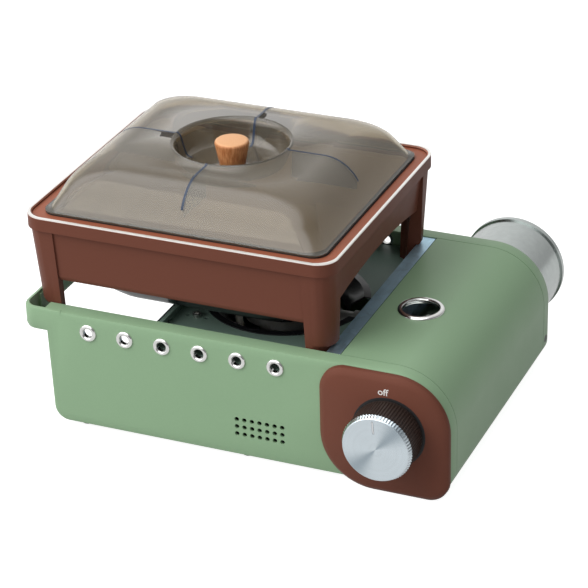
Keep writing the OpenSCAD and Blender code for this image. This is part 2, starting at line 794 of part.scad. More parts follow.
module drip_tray() {
    y0 = front_y + panel_t + fit_gap;
    y1 = rear_y - panel_t - fit_gap;
    x0 = tray_x + chassis_t + fit_gap;
    x1 = wall_x - fit_gap;
    z0 = tray_top - tray_t;
    leg_room = pan_front + skirt_in + leg_w + 8;
    color([0.35, 0.47, 0.38]) difference() {
        union() {
            translate([x0, y0, z0]) cube([x1 - x0, y1 - y0, tray_t]);
            translate([x0, y0, z0]) cube([tray_t, y1 - y0, tray_lip + tray_t]);
            translate([x0, y0, z0 + tray_lip]) cube([2.5, y1 - y0, tray_t]);
            for (y = [y0, y1 - tray_t]) translate([x0, y, z0])
                cube([x1 - x0 - 26, tray_t, tray_lip + tray_t]);
            translate([x1 - tray_t, front_y + leg_room, z0])
                cube([tray_t, stove_d - 2 * leg_room - 6, tray_lip + tray_t]);
        }
        for (i = [0 : eyelet_n - 1], y = [y0, y1]) translate([eyelet_x + i * eyelet_pitch, y, eyelet_z])
            rotate([90, 0, 0]) cylinder(r = eyelet_neck_r + 1.1, h = 3, center = true);
        translate([burner_x, pan_y, z0 - cut]) cylinder(r = burner_hole_r, h = 10, $fn = 96);
        translate([burner_x, pan_y - tube_d / 2 - 5, z0 - cut]) cube([x1, tube_d + 12, 12]);
        for (x = [-bolt_side, 0, bolt_side], y = [-bolt_y, bolt_y])
            translate([burner_x + bolt_x + x, pan_y + y, z0 - cut])
                cylinder(r = x == 0 ? 1.6 : 1.3, h = 3, $fn = 24);
    }
}

bolt_x = -42.5;
bolt_y = 44.5;
bolt_side = 6.2;

module tray_bolts() {
    color([0.7, 0.68, 0.62]) for (y = [-bolt_y, bolt_y])
        translate([burner_x + bolt_x, pan_y + y, tray_top]) {
            translate([0, 0, -4]) cylinder(r = 1.5, h = 4.2);
            difference() {
                cylinder(r = 2.8, h = 2.2);
                translate([0, 0, 1.4]) cylinder(r = 1.2, h = 2, $fn = 6);
            }
        }
}

// ---------- ignition ----------

piezo_x = axis_x - 36;
piezo_z = base_z + 12;
wire_y = front_y + 36;
wire_z = floor_z + 9;
spark_x = burner_x + spark_r * cos(spark_turn);
spark_y = pan_y + spark_r * sin(spark_turn);

module piezo_igniter() {
    color([0.12, 0.12, 0.13]) {
        translate([piezo_x, front_y + panel_t + fit_gap, piezo_z]) cube([10, 22, 10]);
        translate([piezo_x + 5, front_y + panel_t + 22, piezo_z + 5]) rotate([-90, 0, 0])
            cylinder(r = 3, h = 4);
    }
}

module ignition_wire() {
    y0 = front_y + panel_t + 26.3;
    xw = wall_x - 9;
    color([0.7, 0.1, 0.08]) bent_rod([
        [piezo_x + 5, y0, piezo_z + 5], [piezo_x + 5, wire_y, wire_z], [xw, wire_y, wire_z],
        [spark_x + 12, spark_y - 3, wire_z], [spark_x, spark_y, wire_z + 8],
        [spark_x, spark_y, tray_top - 26.2]
    ], 1.1, $fn = 12);
}

module wire_grommet() {
    color([0.08, 0.08, 0.08]) translate([wall_x, wire_y, wire_z]) rotate([0, 90, 0]) difference() {
        union() {
            translate([0, 0, -1.2]) cylinder(r = 4.2, h = 1.2);
            translate([0, 0, chassis_t]) cylinder(r = 4.2, h = 1.2);
            translate([0, 0, -1]) cylinder(r = 2.9, h = chassis_t + 2);
        }
        translate([0, 0, -3]) cylinder(r = 1.2, h = 8);
    }
}

// Places its children at the spark gap, with +X away from the burner
module at_spark() {
    translate([burner_x, pan_y, 0]) rotate([0, 0, spark_turn]) translate([spark_r, 0, 0]) children();
}

module electrode() {
    z1 = tray_top - 26;
    color([0.9, 0.88, 0.82]) at_spark() {
        translate([0, 0, z1]) cylinder(r = 2.4, h = 20);
        translate([0, 0, z1 + 11.2]) cylinder(r = 3.2, h = 3);
        translate([0, 0, z1 + 19]) cylinder(r = 0.7, h = 7);
        translate([0, 0, z1 + 25.6]) rotate([0, -80, 0]) cylinder(r = 0.6, h = 3.6);
    }
}

module electrode_clip() {
    z1 = tray_top - 16;
    gap = spark_r - burner_r + 8;
    color([0.6, 0.62, 0.64]) at_spark() difference() {
        union() {
            translate([0.1 - gap, -4, z1]) cube([gap + 4, 8, 1]);
            translate([0.1 - gap, -4, z1 - 8]) cube([1, 8, 8.5]);
        }
        translate([0, 0, z1 - cut]) cylinder(r = 2.45, h = 3);
    }
}

module side_screw() {
    color([0.1, 0.1, 0.1]) translate([right_x - panel_t - 3, rear_y - rim_d / 2, base_z + side_screw_z])
        rotate([0, 90, 0]) {
            cylinder(r = side_screw_r, h = panel_t + 2.2);
            translate([0, 0, panel_t + 1.8]) cylinder(r1 = side_screw_r, r2 = 2.5, h = 1.2);
        }
}

// ---------- knob ----------

// Outline of the ribbed grip
function rib_points(r, n, depth) =
    [for (i = [0 : 4 * n - 1]) let (a = i * 90 / n, q = i % 4, k = (q == 1 || q == 2) ? r : r - depth)
        [k * cos(a), k * sin(a)]];

module knob_skirt() {
    r = knob_d / 2 - 0.3;
    len = knob_back - knob_front - knob_face_t;
    bore = spindle_d / 2 + run_gap;
    color([0.14, 0.11, 0.1]) difference() {
        union() {
            along_y(knob_front + knob_face_t, len - 2) translate([axis_x, axis_z])
                polygon(rib_points(r, knob_ribs, 0.5));
            about_y(axis_x, knob_back - 2, axis_z) square([r - 0.5, 2]);
        }
        about_y(axis_x, knob_front + knob_face_t + 2.5, axis_z) difference() {
            square([r - 2.8, len]);
            square([8, len]);
        }
        translate([axis_x, knob_front + knob_face_t + 3, axis_z]) rotate([-90, 0, 0])
            cylinder(r = bore, h = len);
    }
}

module knob_face() {
    r = knob_d / 2;
    color([0.82, 0.84, 0.85]) difference() {
        about_y(axis_x, knob_front, axis_z)
            polygon([[0, 0.3], [r - 3, 0.3], [r - 2.6, 0], [r - 1, 0], [r, 1], [r, knob_face_t],
                     [0, knob_face_t]]);
        translate([axis_x - 0.4, knob_front - cut, axis_z + r * 0.42]) cube([0.8, cut + 0.7, r * 0.4]);
    }
}

module valve_spindle() {
    color([0.7, 0.62, 0.42]) about_y(axis_x, knob_front + knob_face_t + 3.2, axis_z)
        square([spindle_d / 2, spindle_end - knob_front - knob_face_t - 3.2]);
}

module valve_needle() {
    y0 = spindle_end + needle_travel + 0.4;
    color([0.75, 0.75, 0.75]) about_y(axis_x, y0, axis_z)
        polygon([[0, 0], [needle_r, 0], [needle_r, 10], [0.4, 12.5], [0, 12.5]]);
}

// ---------- gas cartridge ----------

// Distances along the cartridge are measured from its base rim forwards, towards -Y
module can_turned() {
    translate([axis_x, can_rear, axis_z]) rotate([90, 0, 0]) rotate_extrude($fn = 96) children();
}

module cartridge_shell() {
    r = can_d / 2;
    len = can_len - can_shoulder - can_seam;
    color([0.75, 0.77, 0.78]) can_turned()
        translate([r - 0.8, can_seam]) square([0.8, len - can_seam]);
}

module cartridge_base() {
    r = can_d / 2;
    rim = can_rim_d / 2;
    color([0.8, 0.8, 0.8]) can_turned() {
        translate([rim - 2.4, 0]) square([2.4, can_seam]);
        difference() {
            square([rim - 2, 9]);
            translate([0, -31]) scale([1, 1]) circle(r = 38.5, $fn = 96);
            translate([0, 8.5]) square([rim, 5]);
            translate([r - 0.9, can_seam]) square([5, 9]);
        }
    }
}

module cartridge_dome() {
    r = can_d / 2;
    rim = can_rim_d / 2;
    a0 = can_len - can_shoulder - can_seam;
    a1 = can_len - collar_len;
    color([0.8, 0.8, 0.8]) can_turned() {
        translate([rim - 2.6, a0]) square([2.6, can_seam]);
        polygon([[rim - 1, a0 + can_seam - 1], [rim - 2.6, a0 + can_seam], [collar_d / 2 + 1, a1],
                 [collar_d / 2 - 4, a1], [collar_d / 2 - 4, a1 - 1], [collar_d / 2 + 1, a1 - 1],
                 [rim - 3.4, a0 + 1], [rim - 3.4, a0], [rim - 1, a0]]);
    }
}

module cartridge_collar() {
    r = collar_d / 2;
    a1 = can_len - collar_len;
    color([0.78, 0.78, 0.78]) difference() {
        can_turned() {
            translate([r - 1.2, a1]) square([1.2, collar_len]);
            translate([2.4, a1]) square([r - 2.4, 1]);
            translate([2.4, a1]) square([1.6, 3]);
        }
        translate([axis_x - 2.5, can_front - cut, axis_z + r - 3]) cube([5, 5, 5]);
    }
}

module cartridge_valve() {
    a1 = can_len - collar_len;
    color([0.85, 0.85, 0.8]) can_turned() {
        translate([0, a1 - 6]) square([2.3, collar_len + 5.5]);
        translate([0, a1 - 6]) square([6, 5.8]);
    }
}

// ---------- pan ----------

// Plan of the pan, inset by d from its rim
module pan_plan(d) {
    translate([pan_x, pan_y]) round_rect(pan_w - 2 * d, pan_d - 2 * d, max(pan_r - 0.3 * d, 3));
}

// Solid between the pan's plan at one height and the same plan inset at another
module pan_loft(z0, d0, z1, d1) {
    hull() {
        translate([0, 0, z0]) linear_extrude(0.01) pan_plan(d0, $fn = 32);
        translate([0, 0, z1 - 0.01]) linear_extrude(0.01) pan_plan(d1, $fn = 32);
    }
}

// Upper part of the legs on one side, down to a rounded shoulder at height z
module leg_pair(side, z) {
    top_in = skirt_in - 0.6;
    front_in = top_in + leg_lean * (skirt_z - z) / (skirt_z - seat_z);
    side_in = top_in + leg_side_lean;
    intersection() {
        hull() {
            for (k = [[z, 2.4, 1], [z + 1, 0.9, 0.3], [z + 2.6, 0, 0]])
                translate([0, 0, k[0]]) leg_slice(side_in + k[1], front_in + k[2]);
            translate([0, 0, skirt_z + 0.09]) leg_slice(top_in, top_in);
        }
        for (y = [-1, 1])
            translate([pan_x + side * (pan_w / 2 - leg_w / 2 - top_in),
                       pan_y + y * (pan_d / 2 - leg_w / 2 - top_in), z])
                translate([-leg_w / 2, -leg_w / 2, 0]) cube([leg_w, leg_w, skirt_z - z + 0.1]);
    }
}

// Thin slice of the pan's plan, inset by dx at left and right and dy at front and rear
module leg_slice(dx, dy) {
    translate([pan_x, pan_y]) linear_extrude(0.01)
        round_rect(pan_w - 2 * dx, pan_d - 2 * dy, pan_r - 2, $fn = 32);
}

// Room under the side walls, with an arched top
module side_arch() {
    half = pan_d / 2 - 16;
    drop = wall_h - side_wall_h - 7;
    r = (half * half + drop * drop) / (2 * drop);
    translate([pan_x, pan_y, 0]) rotate([90, 0, 90]) translate([0, 0, -pan_w]) linear_extrude(2 * pan_w)
        intersection() {
            translate([-half, wall_z - 10]) square([2 * half, wall_h]);
            translate([0, rim_z - side_wall_h - r]) circle(r = r, $fn = 240);
        }
}

module pan_frame() {
    inner = skirt_in + frame_t;
    leg_in = skirt_in - 0.6;
    color([0.46, 0.29, 0.22]) difference() {
        union() {
            translate([0, 0, skirt_z]) linear_extrude(skirt_h) pan_plan(0);
            difference() {
                union() {
                    pan_loft(wall_z + 3, skirt_in + 4.3, skirt_z + 0.1, skirt_in + 0.6);
                    pan_loft(wall_z, skirt_in + 6, wall_z + 3, skirt_in + 4.3);
                }
                side_arch();
            }
            intersection() {
                pan_loft(seat_z, leg_in + leg_lean, skirt_z + 0.1, leg_in);
                for (x = [-1, 1], y = [-1, 1])
                    translate([pan_x + x * (pan_w / 2 - leg_in - leg_w / 2),
                               pan_y + y * (pan_d / 2 - leg_in - leg_w / 2), seat_z])
                        translate([-leg_w / 2, -leg_w / 2, 0]) cube([leg_w, leg_w, skirt_z - seat_z + 0.1]);
            }
            leg_pair(-1, left_shoulder_z);
            leg_pair(1, right_shoulder_z);
        }
        pan_loft(seat_z - cut, leg_in + leg_lean + leg_t, wall_z + 1, inner + 6.2);
        pan_loft(wall_z - cut, inner + 6.2, skirt_z, inner + 0.6);
        translate([0, 0, skirt_z - 0.5]) linear_extrude(flange_z - flange_t - skirt_z + 0.5)
            pan_plan(inner);
        translate([0, 0, flange_z]) linear_extrude(skirt_h) pan_plan(bead_w + 0.6);
        translate([0, 0, skirt_z]) linear_extrude(skirt_h + cut) pan_plan(flange_w);
    }
}

module rim_bead() {
    color([0.93, 0.92, 0.9]) translate([0, 0, rim_z]) linear_extrude(bead_h) difference() {
        pan_plan(0.1);
        pan_plan(bead_w);
    }
}

// Solid bowl of the vessel, inset by d all over
module vessel_body(d) {
    z0 = rim_z - vessel_depth;
    lip_z = flange_z - flange_t;
    side = 2 * flange_w + 8.2 + 2 * d;
    hull() {
        translate([pan_x, pan_y, z0 + d]) linear_extrude(0.2)
            round_rect(vessel_w - 8 - 2 * d, vessel_d - 8 - 2 * d, vessel_r - 4 - d, $fn = 32);
        translate([pan_x, pan_y, z0 + 3 + d / 2]) linear_extrude(0.2)
            round_rect(vessel_w - 2 * d, vessel_d - 2 * d, vessel_r - d, $fn = 32);
        translate([pan_x, pan_y, vessel_side_z - 2]) linear_extrude(1)
            round_rect(pan_w - side, pan_d - side, 14 - d, $fn = 32);
    }
    hull() {
        translate([pan_x, pan_y, vessel_side_z - 1.2]) linear_extrude(0.2)
            round_rect(pan_w - side, pan_d - side, 14 - d, $fn = 32);
        translate([0, 0, lip_z - 0.2]) linear_extrude(0.2) pan_plan(flange_w - 2 + d, $fn = 32);
    }
}

module vessel() {
    lip_z = flange_z - flange_t;
    lip_t = 1.8;
    inner = skirt_in + frame_t + 0.3;
    color([0.07, 0.07, 0.075]) difference() {
        union() {
            translate([0, 0, lip_z - lip_t]) linear_extrude(lip_t) pan_plan(inner);
            vessel_body(0);
        }
        vessel_body(vessel_t);
        translate([0, 0, lip_z - lip_t - cut]) linear_extrude(2 * lip_t) pan_plan(flange_w - 2 + vessel_t);
    }
}

// ---------- lid ----------

// Plan of the lid inset from its edge by dx at left and right and dy at front and rear
module lid_plan(dx, dy) {
    translate([pan_x, pan_y]) round_rect(lid_w - 2 * dx, lid_d - 2 * dy, lid_r + 0.6 * dy, $fn = 32);
}

// The dome as a solid, inset by d all over
module lid_dome(d) {
    r = lid_side_r - d;
    straight = dome_z - d - lid_z - r;
    edge = lid_flange_w + d;
    hull() {
        translate([0, 0, lid_z - cut]) linear_extrude(straight + cut) lid_plan(edge, edge);
        for (a = [15 : 15 : 75])
            translate([0, 0, lid_z + straight + r * sin(a) - 0.2]) linear_extrude(0.2)
                lid_plan(edge + r * (1 - cos(a)) + lid_lean * sin(a), edge + r * (1 - cos(a)));
        translate([0, 0, dome_z - d - 0.2]) linear_extrude(0.2)
            lid_plan(edge + r - 1 + lid_lean, edge + r - 1);
    }
}

// Section of the round recess, from its ring to its floor, shifted outwards by d
module well_section(d) {
    floor_top = lid_top - well_depth;
    polygon([[0, lid_top + cut], [0, floor_top - d], [well_r - 12 + d * 0.4, floor_top - d],
             [well_r - 7 + d * 0.8, floor_top + 1.4 - d * 0.6], [well_r - 4.4 + d, floor_top + 5 - d * 0.2],
             [well_r - 1.4 + d, lid_top], [well_r - 1.4 + d, lid_top + cut]]);
}

module lid_shell() {
    rib_z = dome_z - rib_h;
    color([0.4, 0.4, 0.38, 0.5]) difference() {
        union() {
            difference() {
                union() {
                    lid_dome(0);
                    translate([0, 0, lid_z]) linear_extrude(lid_t) lid_plan(0, 0);
                }
                lid_dome(lid_t);
            }
            intersection() {
                lid_dome(lid_t / 2);
                difference() {
                    translate([pan_x, pan_y, rib_z + rib_h / 2]) {
                        cube([rib_t, lid_d, rib_h], center = true);
                        cube([lid_w, rib_t, rib_h], center = true);
                    }
                    translate([pan_x, pan_y, lid_z]) cylinder(r = well_r - 5, h = lid_h);
                }
            }
            translate([pan_x, pan_y, 0]) intersection() {
                rotate_extrude($fn = 96) well_section(lid_t);
                translate([0, 0, rib_z - 5]) cylinder(r = well_r + 5, h = lid_top - rib_z + 5);
            }
        }
        translate([pan_x, pan_y, 0]) rotate_extrude($fn = 96) well_section(0);
        translate([pan_x, pan_y, lid_z]) cylinder(r = 2.1, h = lid_h);
        translate([pan_x - lid_w, pan_y - lid_d, lid_z - 2 * cut]) cube([2 * lid_w, 2 * lid_d, 2 * cut]);
    }
}

module lid_seal() {
    w = lid_flange_w;
    color([0.08, 0.08, 0.08]) translate([pan_x, pan_y, seal_z]) linear_extrude(seal_t) difference() {
        round_rect(lid_w + 0.8, lid_d + 0.8, lid_r + 0.4);
        round_rect(lid_w - 2 * w, lid_d - 2 * w, lid_r);
    }
}

module lid_knob() {
    z0 = lid_top - well_depth;
    h = well_depth;
    r1 = wood_d / 2;
    r0 = wood_foot_d / 2;
    color([0.8, 0.47, 0.24]) translate([pan_x, pan_y, z0]) difference() {
        rotate_extrude() {
            polygon([[0, 0], [r0, 0], [r0 + 0.5, h * 0.35], [r1 - 0.9, h - 3], [r1 - 1.2, h], [0, h]]);
            translate([r1 - 1.6, h - 1.6]) circle(r = 1.6, $fn = 32);
            translate([0, h - 3]) square([r1 - 0.9, 1.4]);
        }
        translate([0, 0, -cut]) cylinder(r = 2, h = 11);
    }
}

module lid_screw() {
    z0 = lid_top - well_depth - lid_t - 1;
    color([0.75, 0.75, 0.75]) translate([pan_x, pan_y, z0]) {
        translate([0, 0, -2.2]) difference() {
            cylinder(r = 3.6, h = 2.2);
            translate([-0.5, -5, -cut]) cube([1, 10, cut + 1]);
        }
        cylinder(r = 1.9, h = 12);
    }
}

module lid_washer() {
    z0 = lid_top - well_depth - lid_t - 1;
    color([0.75, 0.75, 0.75]) translate([pan_x, pan_y, z0]) difference() {
        cylinder(r = 6.5, h = 1);
        translate([0, 0, -cut]) cylinder(r = 2.1, h = 3);
    }
}

front_panel();
rear_panel();
left_rail();
chassis();
partition();
drip_tray();
cartridge_cover();
sight_ring();
front_eyelets();
rear_eyelets();
knob_panel();
valve_plate();
regulator();
inlet_magnet();
inlet_seal();
gas_pipe();
jet_holder();
mixing_tube();
burner_head();
burner_cap();
burner_stand();
burner_bowl();
piezo_igniter();
electrode();
electrode_clip();
ignition_wire();
wire_grommet();
cartridge_cradle();
rubber_feet();
tray_bolts();
base_screws();
valve_screws();
side_screw();
knob_skirt();
knob_face();
valve_spindle();
valve_needle();
cartridge_shell();
cartridge_base();
cartridge_dome();
cartridge_collar();
cartridge_valve();
pan_frame();
rim_bead();
vessel();
lid_shell();
lid_seal();
lid_knob();
lid_screw();
lid_washer();
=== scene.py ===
"""Portable gas stove with a lift-off pan and a clear lid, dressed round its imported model."""

import json
import math

import bmesh
import bpy
from mathutils import Matrix, Vector


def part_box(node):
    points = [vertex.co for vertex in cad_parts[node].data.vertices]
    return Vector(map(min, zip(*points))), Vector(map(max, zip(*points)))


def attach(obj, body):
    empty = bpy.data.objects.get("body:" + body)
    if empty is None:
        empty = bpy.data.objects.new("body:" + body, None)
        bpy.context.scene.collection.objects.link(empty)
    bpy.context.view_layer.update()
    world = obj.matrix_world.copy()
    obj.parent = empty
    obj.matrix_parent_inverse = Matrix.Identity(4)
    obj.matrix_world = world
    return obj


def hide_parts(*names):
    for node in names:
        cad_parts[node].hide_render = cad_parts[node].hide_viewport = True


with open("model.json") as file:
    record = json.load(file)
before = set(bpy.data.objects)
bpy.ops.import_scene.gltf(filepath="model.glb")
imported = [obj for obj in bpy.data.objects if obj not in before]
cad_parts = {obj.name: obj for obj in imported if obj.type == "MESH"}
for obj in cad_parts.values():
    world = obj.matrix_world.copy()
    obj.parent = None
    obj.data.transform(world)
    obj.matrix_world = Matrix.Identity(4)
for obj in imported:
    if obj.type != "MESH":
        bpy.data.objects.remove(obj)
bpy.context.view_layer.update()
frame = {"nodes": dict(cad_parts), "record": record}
record = frame["record"]

# ---------------------------------------------------------------- camera
# The stove is seen from its front right corner, a little from above, with a slight tilt. The lens
# is long: its focal length is FOCAL_PIXELS where the picture is PICTURE_PIXELS wide.
VIEW_AZIMUTH = math.radians(23.521)
VIEW_ELEVATION = math.radians(27.353)
VIEW_ROLL = math.radians(-1.4673)
EYE = Vector((0.56175, -1.29113, 0.79372))
SENSOR_MM = 36
FOCAL_PIXELS = 2501.83
PICTURE_PIXELS = 588
CLIP = (0.05, 30)

across = Vector((math.cos(VIEW_AZIMUTH), math.sin(VIEW_AZIMUTH), 0))
ahead = Vector(
    (
        -math.sin(VIEW_AZIMUTH) * math.cos(VIEW_ELEVATION),
        math.cos(VIEW_AZIMUTH) * math.cos(VIEW_ELEVATION),
        -math.sin(VIEW_ELEVATION),
    )
)
upward = across.cross(ahead)
tilted_across = across * math.cos(VIEW_ROLL) + upward * math.sin(VIEW_ROLL)
tilted_upward = upward * math.cos(VIEW_ROLL) - across * math.sin(VIEW_ROLL)
lens = bpy.data.cameras.new("camera")
lens.sensor_width = SENSOR_MM
lens.lens = SENSOR_MM * FOCAL_PIXELS / PICTURE_PIXELS
lens.clip_start, lens.clip_end = CLIP
camera = bpy.data.objects.new("camera", lens)
camera_axes = Matrix((tilted_across, tilted_upward, -ahead)).transposed()
camera.matrix_world = Matrix.Translation(EYE) @ camera_axes.to_4x4()
bpy.context.collection.objects.link(camera)
bpy.context.scene.camera = camera
bpy.context.scene.view_settings.view_transform = "Standard"

# ---------------------------------------------------------------- floor and light
# A plain pale studio floor and backdrop, lit softly from the front left; the far right of the room
# is dimmer. A large soft panel hangs over the front left for polished parts to mirror, and one
# soft lamp, which isn't mirrored, lights the front. The camera sees the backdrop as white.
FLOOR_SIZE = 8.0
FLOOR_COLOUR = (0.50, 0.50, 0.50, 1)
FLOOR_LIFT = 0.88
FLOOR_MIRRORED_LIFT = 0.40
BRIGHT_SIDE = Vector((-0.52, -0.48, 0.70))
MIRROR_SIDE = Vector((-0.80, 0.35, 0.48))
PANEL_SIDE = Vector((-0.36, -0.42, 0.83))
ALL_ROUND = (-1.0, 1.0)
ROOM_LIGHT = (0.06, 0.84)
MIRROR_LIGHT = (0.25, 1.0)
MIRROR_SPAN = (-0.5, 0.7)
PANEL_LIGHT = (0.0, 2.4)
PANEL_SPAN = (0.55, 0.85)
LAMP_SIDE = Vector((-0.50, -0.58, 0.64))
LAMP_AIM = Vector((0, 0, 0.08))
LAMP_DISTANCE = 2.2
LAMP_SIZE = 1.6
LAMP_POWER = 32


def link(tree, start, end):
    """Joins an output socket to an input socket."""
    tree.links.new(start, end)


def math_node(tree, operation, first, second=None):
    """One calculation on numbers or outputs."""
    node = tree.nodes.new("ShaderNodeMath")
    node.operation = operation
    for socket, value in zip(node.inputs, (first, second)):
        if value is None:
            continue
        if isinstance(value, (int, float)):
            socket.default_value = value
        else:
            link(tree, value, socket)
    return node.outputs[0]


def ranged(tree, value, low, high, from_low=0.0, from_high=1.0, smooth=False):
    """Maps a value to a range; low and high are numbers or outputs."""
    node = tree.nodes.new("ShaderNodeMapRange")
    if smooth:
        node.interpolation_type = "SMOOTHSTEP"
    link(tree, value, node.inputs["Value"])
    node.inputs["From Min"].default_value = from_low
    node.inputs["From Max"].default_value = from_high
    for label, end in (("To Min", low), ("To Max", high)):
        if isinstance(end, (int, float)):
            node.inputs[label].default_value = end
        else:
            link(tree, end, node.inputs[label])
    return node.outputs["Result"]


def ray_is(tree, kind):
    """1 for rays of one kind and 0 for the others."""
    return tree.nodes.new("ShaderNodeLightPath").outputs[f"Is {kind} Ray"]


def seen_directly(tree):
    """1 for rays of the camera and through glass, and 0 for the light on the object."""
    return math_node(tree, "MAXIMUM", ray_is(tree, "Camera"), ray_is(tree, "Transmission"))


def towards(tree, side):
    """How far a ray of the surround points to one side, from -1 to 1."""
    direction = tree.nodes.new("ShaderNodeTexCoord")
    along = tree.nodes.new("ShaderNodeVectorMath")
    along.operation = "DOT_PRODUCT"
    link(tree, direction.outputs["Generated"], along.inputs[0])
    along.inputs[1].default_value = side.normalized()
    return along.outputs["Value"]


world = bpy.data.worlds.new("surround")
world.use_nodes = True
bpy.context.scene.world = world
sky = world.node_tree
background = sky.nodes["Background"]
background.inputs["Color"].default_value = (1, 1, 1, 1)
room = ranged(sky, towards(sky, BRIGHT_SIDE), *ROOM_LIGHT, *ALL_ROUND)
mirror = ranged(sky, towards(sky, MIRROR_SIDE), *MIRROR_LIGHT, *MIRROR_SPAN)
panel = ranged(sky, towards(sky, PANEL_SIDE), *PANEL_LIGHT, *PANEL_SPAN, smooth=True)
in_mirrors = math_node(sky, "ADD", mirror, panel)
unseen = ranged(sky, ray_is(sky, "Glossy"), room, in_mirrors)
link(sky, ranged(sky, seen_directly(sky), unseen, 1.0), background.inputs["Strength"])

bpy.ops.mesh.primitive_plane_add(size=FLOOR_SIZE)
floor = bpy.context.object
floor.name = "floor"
floor_paint = bpy.data.materials.new("floor")
floor_paint.use_nodes = True
floor_tree = floor_paint.node_tree
floor_shader = floor_tree.nodes["Principled BSDF"]
floor_shader.inputs["Base Color"].default_value = FLOOR_COLOUR
floor_shader.inputs["Roughness"].default_value = 0.9
floor_shader.inputs["Specular IOR Level"].default_value = 0.1
floor_shader.inputs["Emission Color"].default_value = (1, 1, 1, 1)
mirrored_lift = math_node(floor_tree, "MULTIPLY", ray_is(floor_tree, "Glossy"), FLOOR_MIRRORED_LIFT)
floor_lift = ranged(floor_tree, seen_directly(floor_tree), mirrored_lift, FLOOR_LIFT)
link(floor_tree, floor_lift, floor_shader.inputs["Emission Strength"])
floor.data.materials.append(floor_paint)

light = bpy.data.lights.new("front_left_lamp", "AREA")
light.shape = "SQUARE"
light.size = LAMP_SIZE
light.energy = LAMP_POWER
lamp = bpy.data.objects.new("front_left_lamp", light)
lamp.visible_glossy = False
lamp.location = LAMP_AIM + LAMP_SIDE.normalized() * LAMP_DISTANCE
lamp.rotation_mode = "QUATERNION"
lamp.rotation_quaternion = LAMP_SIDE.to_track_quat("Z", "Y")
bpy.context.collection.objects.link(lamp)

# ---------------------------------------------------------------- painted sheet steel of the body
# Front and rear panels, left rail, cartridge cover and drip tray: pressed sheet steel with folded
# rims, powder coated in a soft green with a satin face and a faint orange peel.
MERGE_DISTANCE = 1e-6
FLAT_TURN = math.radians(0.6)
SHEET_ROUNDING = 0.00025
TRAY_ROUNDING = 0.0002
GREEN = (141, 171, 137)
TRAY_GREEN = (124, 148, 136)
# Near black of the bar laid in the cover's left slit: painted shade of the gap.
GAP_SHADE_BLACK = (16, 20, 18)
CLOUD = 0.06
FLECK = 0.05
ROUGHNESS_DRIFT = 0.14
PEEL_SCALE = 1100
SKIN_DEPTH = 0.0001
COAT_ROUGHNESS = 0.15
STRIP_SLIT = 0.00035
FRONT_SLIT = 0.0003
EDGE_REACH = 0.00005
GAP_OVERLAP = 0.0002
GAP_SHORTER = 0.002
GAP_DEPTH = 0.0008
GAP_SINK = 0.0001


def linear(screen_colour):
    """Linear colour of a finish that is given as it looks on a screen, from 0 to 255."""
    channels = []
    for value in screen_colour:
        share = value / 255
        channels.append(share / 12.92 if share <= 0.04045 else ((share + 0.055) / 1.055) ** 2.4)
    return (*channels, 1.0)


def effect(name, inputs, outputs):
    """An empty node group with named inputs and outputs, each with its kind of socket."""
    group = bpy.data.node_groups.new(name, "ShaderNodeTree")
    for in_out, sockets in (("INPUT", inputs), ("OUTPUT", outputs)):
        for label, kind in sockets.items():
            group.interface.new_socket(label, in_out=in_out, socket_type=kind)
    return group, group.nodes.new("NodeGroupInput"), group.nodes.new("NodeGroupOutput")


def noise(tree, vector, scale, detail=3.0, roughness=0.5):
    """Noise between 0 and 1."""
    node = tree.nodes.new("ShaderNodeTexNoise")
    link(tree, vector, node.inputs["Vector"])
    node.inputs["Scale"].default_value = scale
    node.inputs["Detail"].default_value = detail
    node.inputs["Roughness"].default_value = roughness
    return node.outputs["Fac"]


def swing(tree, pattern, size):
    """How far a pattern between 0 and 1 departs from its middle, times size."""
    return math_node(tree, "MULTIPLY", math_node(tree, "SUBTRACT", pattern, 0.5), size)


def blended(tree, factor, first, second):
    """Blends two colours; factor, first and second are values or outputs."""
    node = tree.nodes.new("ShaderNodeMix")
    node.data_type = "RGBA"
    for index, value in ((0, factor), (6, first), (7, second)):
        socket = node.inputs[index]
        if isinstance(value, (int, float, tuple)):
            socket.default_value = value
        else:
            link(tree, value, socket)
    return node.outputs[2]


def make_sprayed_coat():
    """Sprayed finish: a slightly cloudy colour, a roughness that drifts and a fine peel."""
    group, start, end = effect(
        "sprayed_coat",
        {"Place": "NodeSocketVector", "Colour": "NodeSocketColor", "Roughness": "NodeSocketFloat"},
        {"Colour": "NodeSocketColor", "Roughness": "NodeSocketFloat", "Height": "NodeSocketFloat"},
    )
    place = start.outputs["Place"]
    cloud = swing(group, noise(group, place, 14, 4), CLOUD)
    fleck = swing(group, noise(group, place, 900, 2), FLECK)
    drift = swing(group, noise(group, place, 60, 3), ROUGHNESS_DRIFT)
    tone = group.nodes.new("ShaderNodeHueSaturation")
    link(group, start.outputs["Colour"], tone.inputs["Color"])
    value = math_node(group, "ADD", math_node(group, "ADD", cloud, fleck), 1.0)
    link(group, value, tone.inputs["Value"])
    link(group, tone.outputs["Color"], end.inputs["Colour"])
    link(group, math_node(group, "ADD", start.outputs["Roughness"], drift), end.inputs["Roughness"])
    link(group, noise(group, place, PEEL_SCALE, 2), end.inputs["Height"])
    return group


sprayed_coat = make_sprayed_coat()


def new_material(name, roughness=0.5, metallic=0.0):
    """A material, its shader and the place on the piece that its pattern reads."""
    material = bpy.data.materials.new(name)
    material.use_nodes = True
    shader = material.node_tree.nodes["Principled BSDF"]
    shader.inputs["Roughness"].default_value = roughness
    shader.inputs["Metallic"].default_value = metallic
    place = material.node_tree.nodes.new("ShaderNodeTexCoord")
    return material, shader, place.outputs["Object"]


def bumped(tree, shader, height, strength, distance=SKIN_DEPTH):
    """Feeds a height to the shader's normal."""
    bump = tree.nodes.new("ShaderNodeBump")
    bump.inputs["Strength"].default_value = strength
    bump.inputs["Distance"].default_value = distance
    link(tree, height, bump.inputs["Height"])
    link(tree, bump.outputs["Normal"], shader.inputs["Normal"])


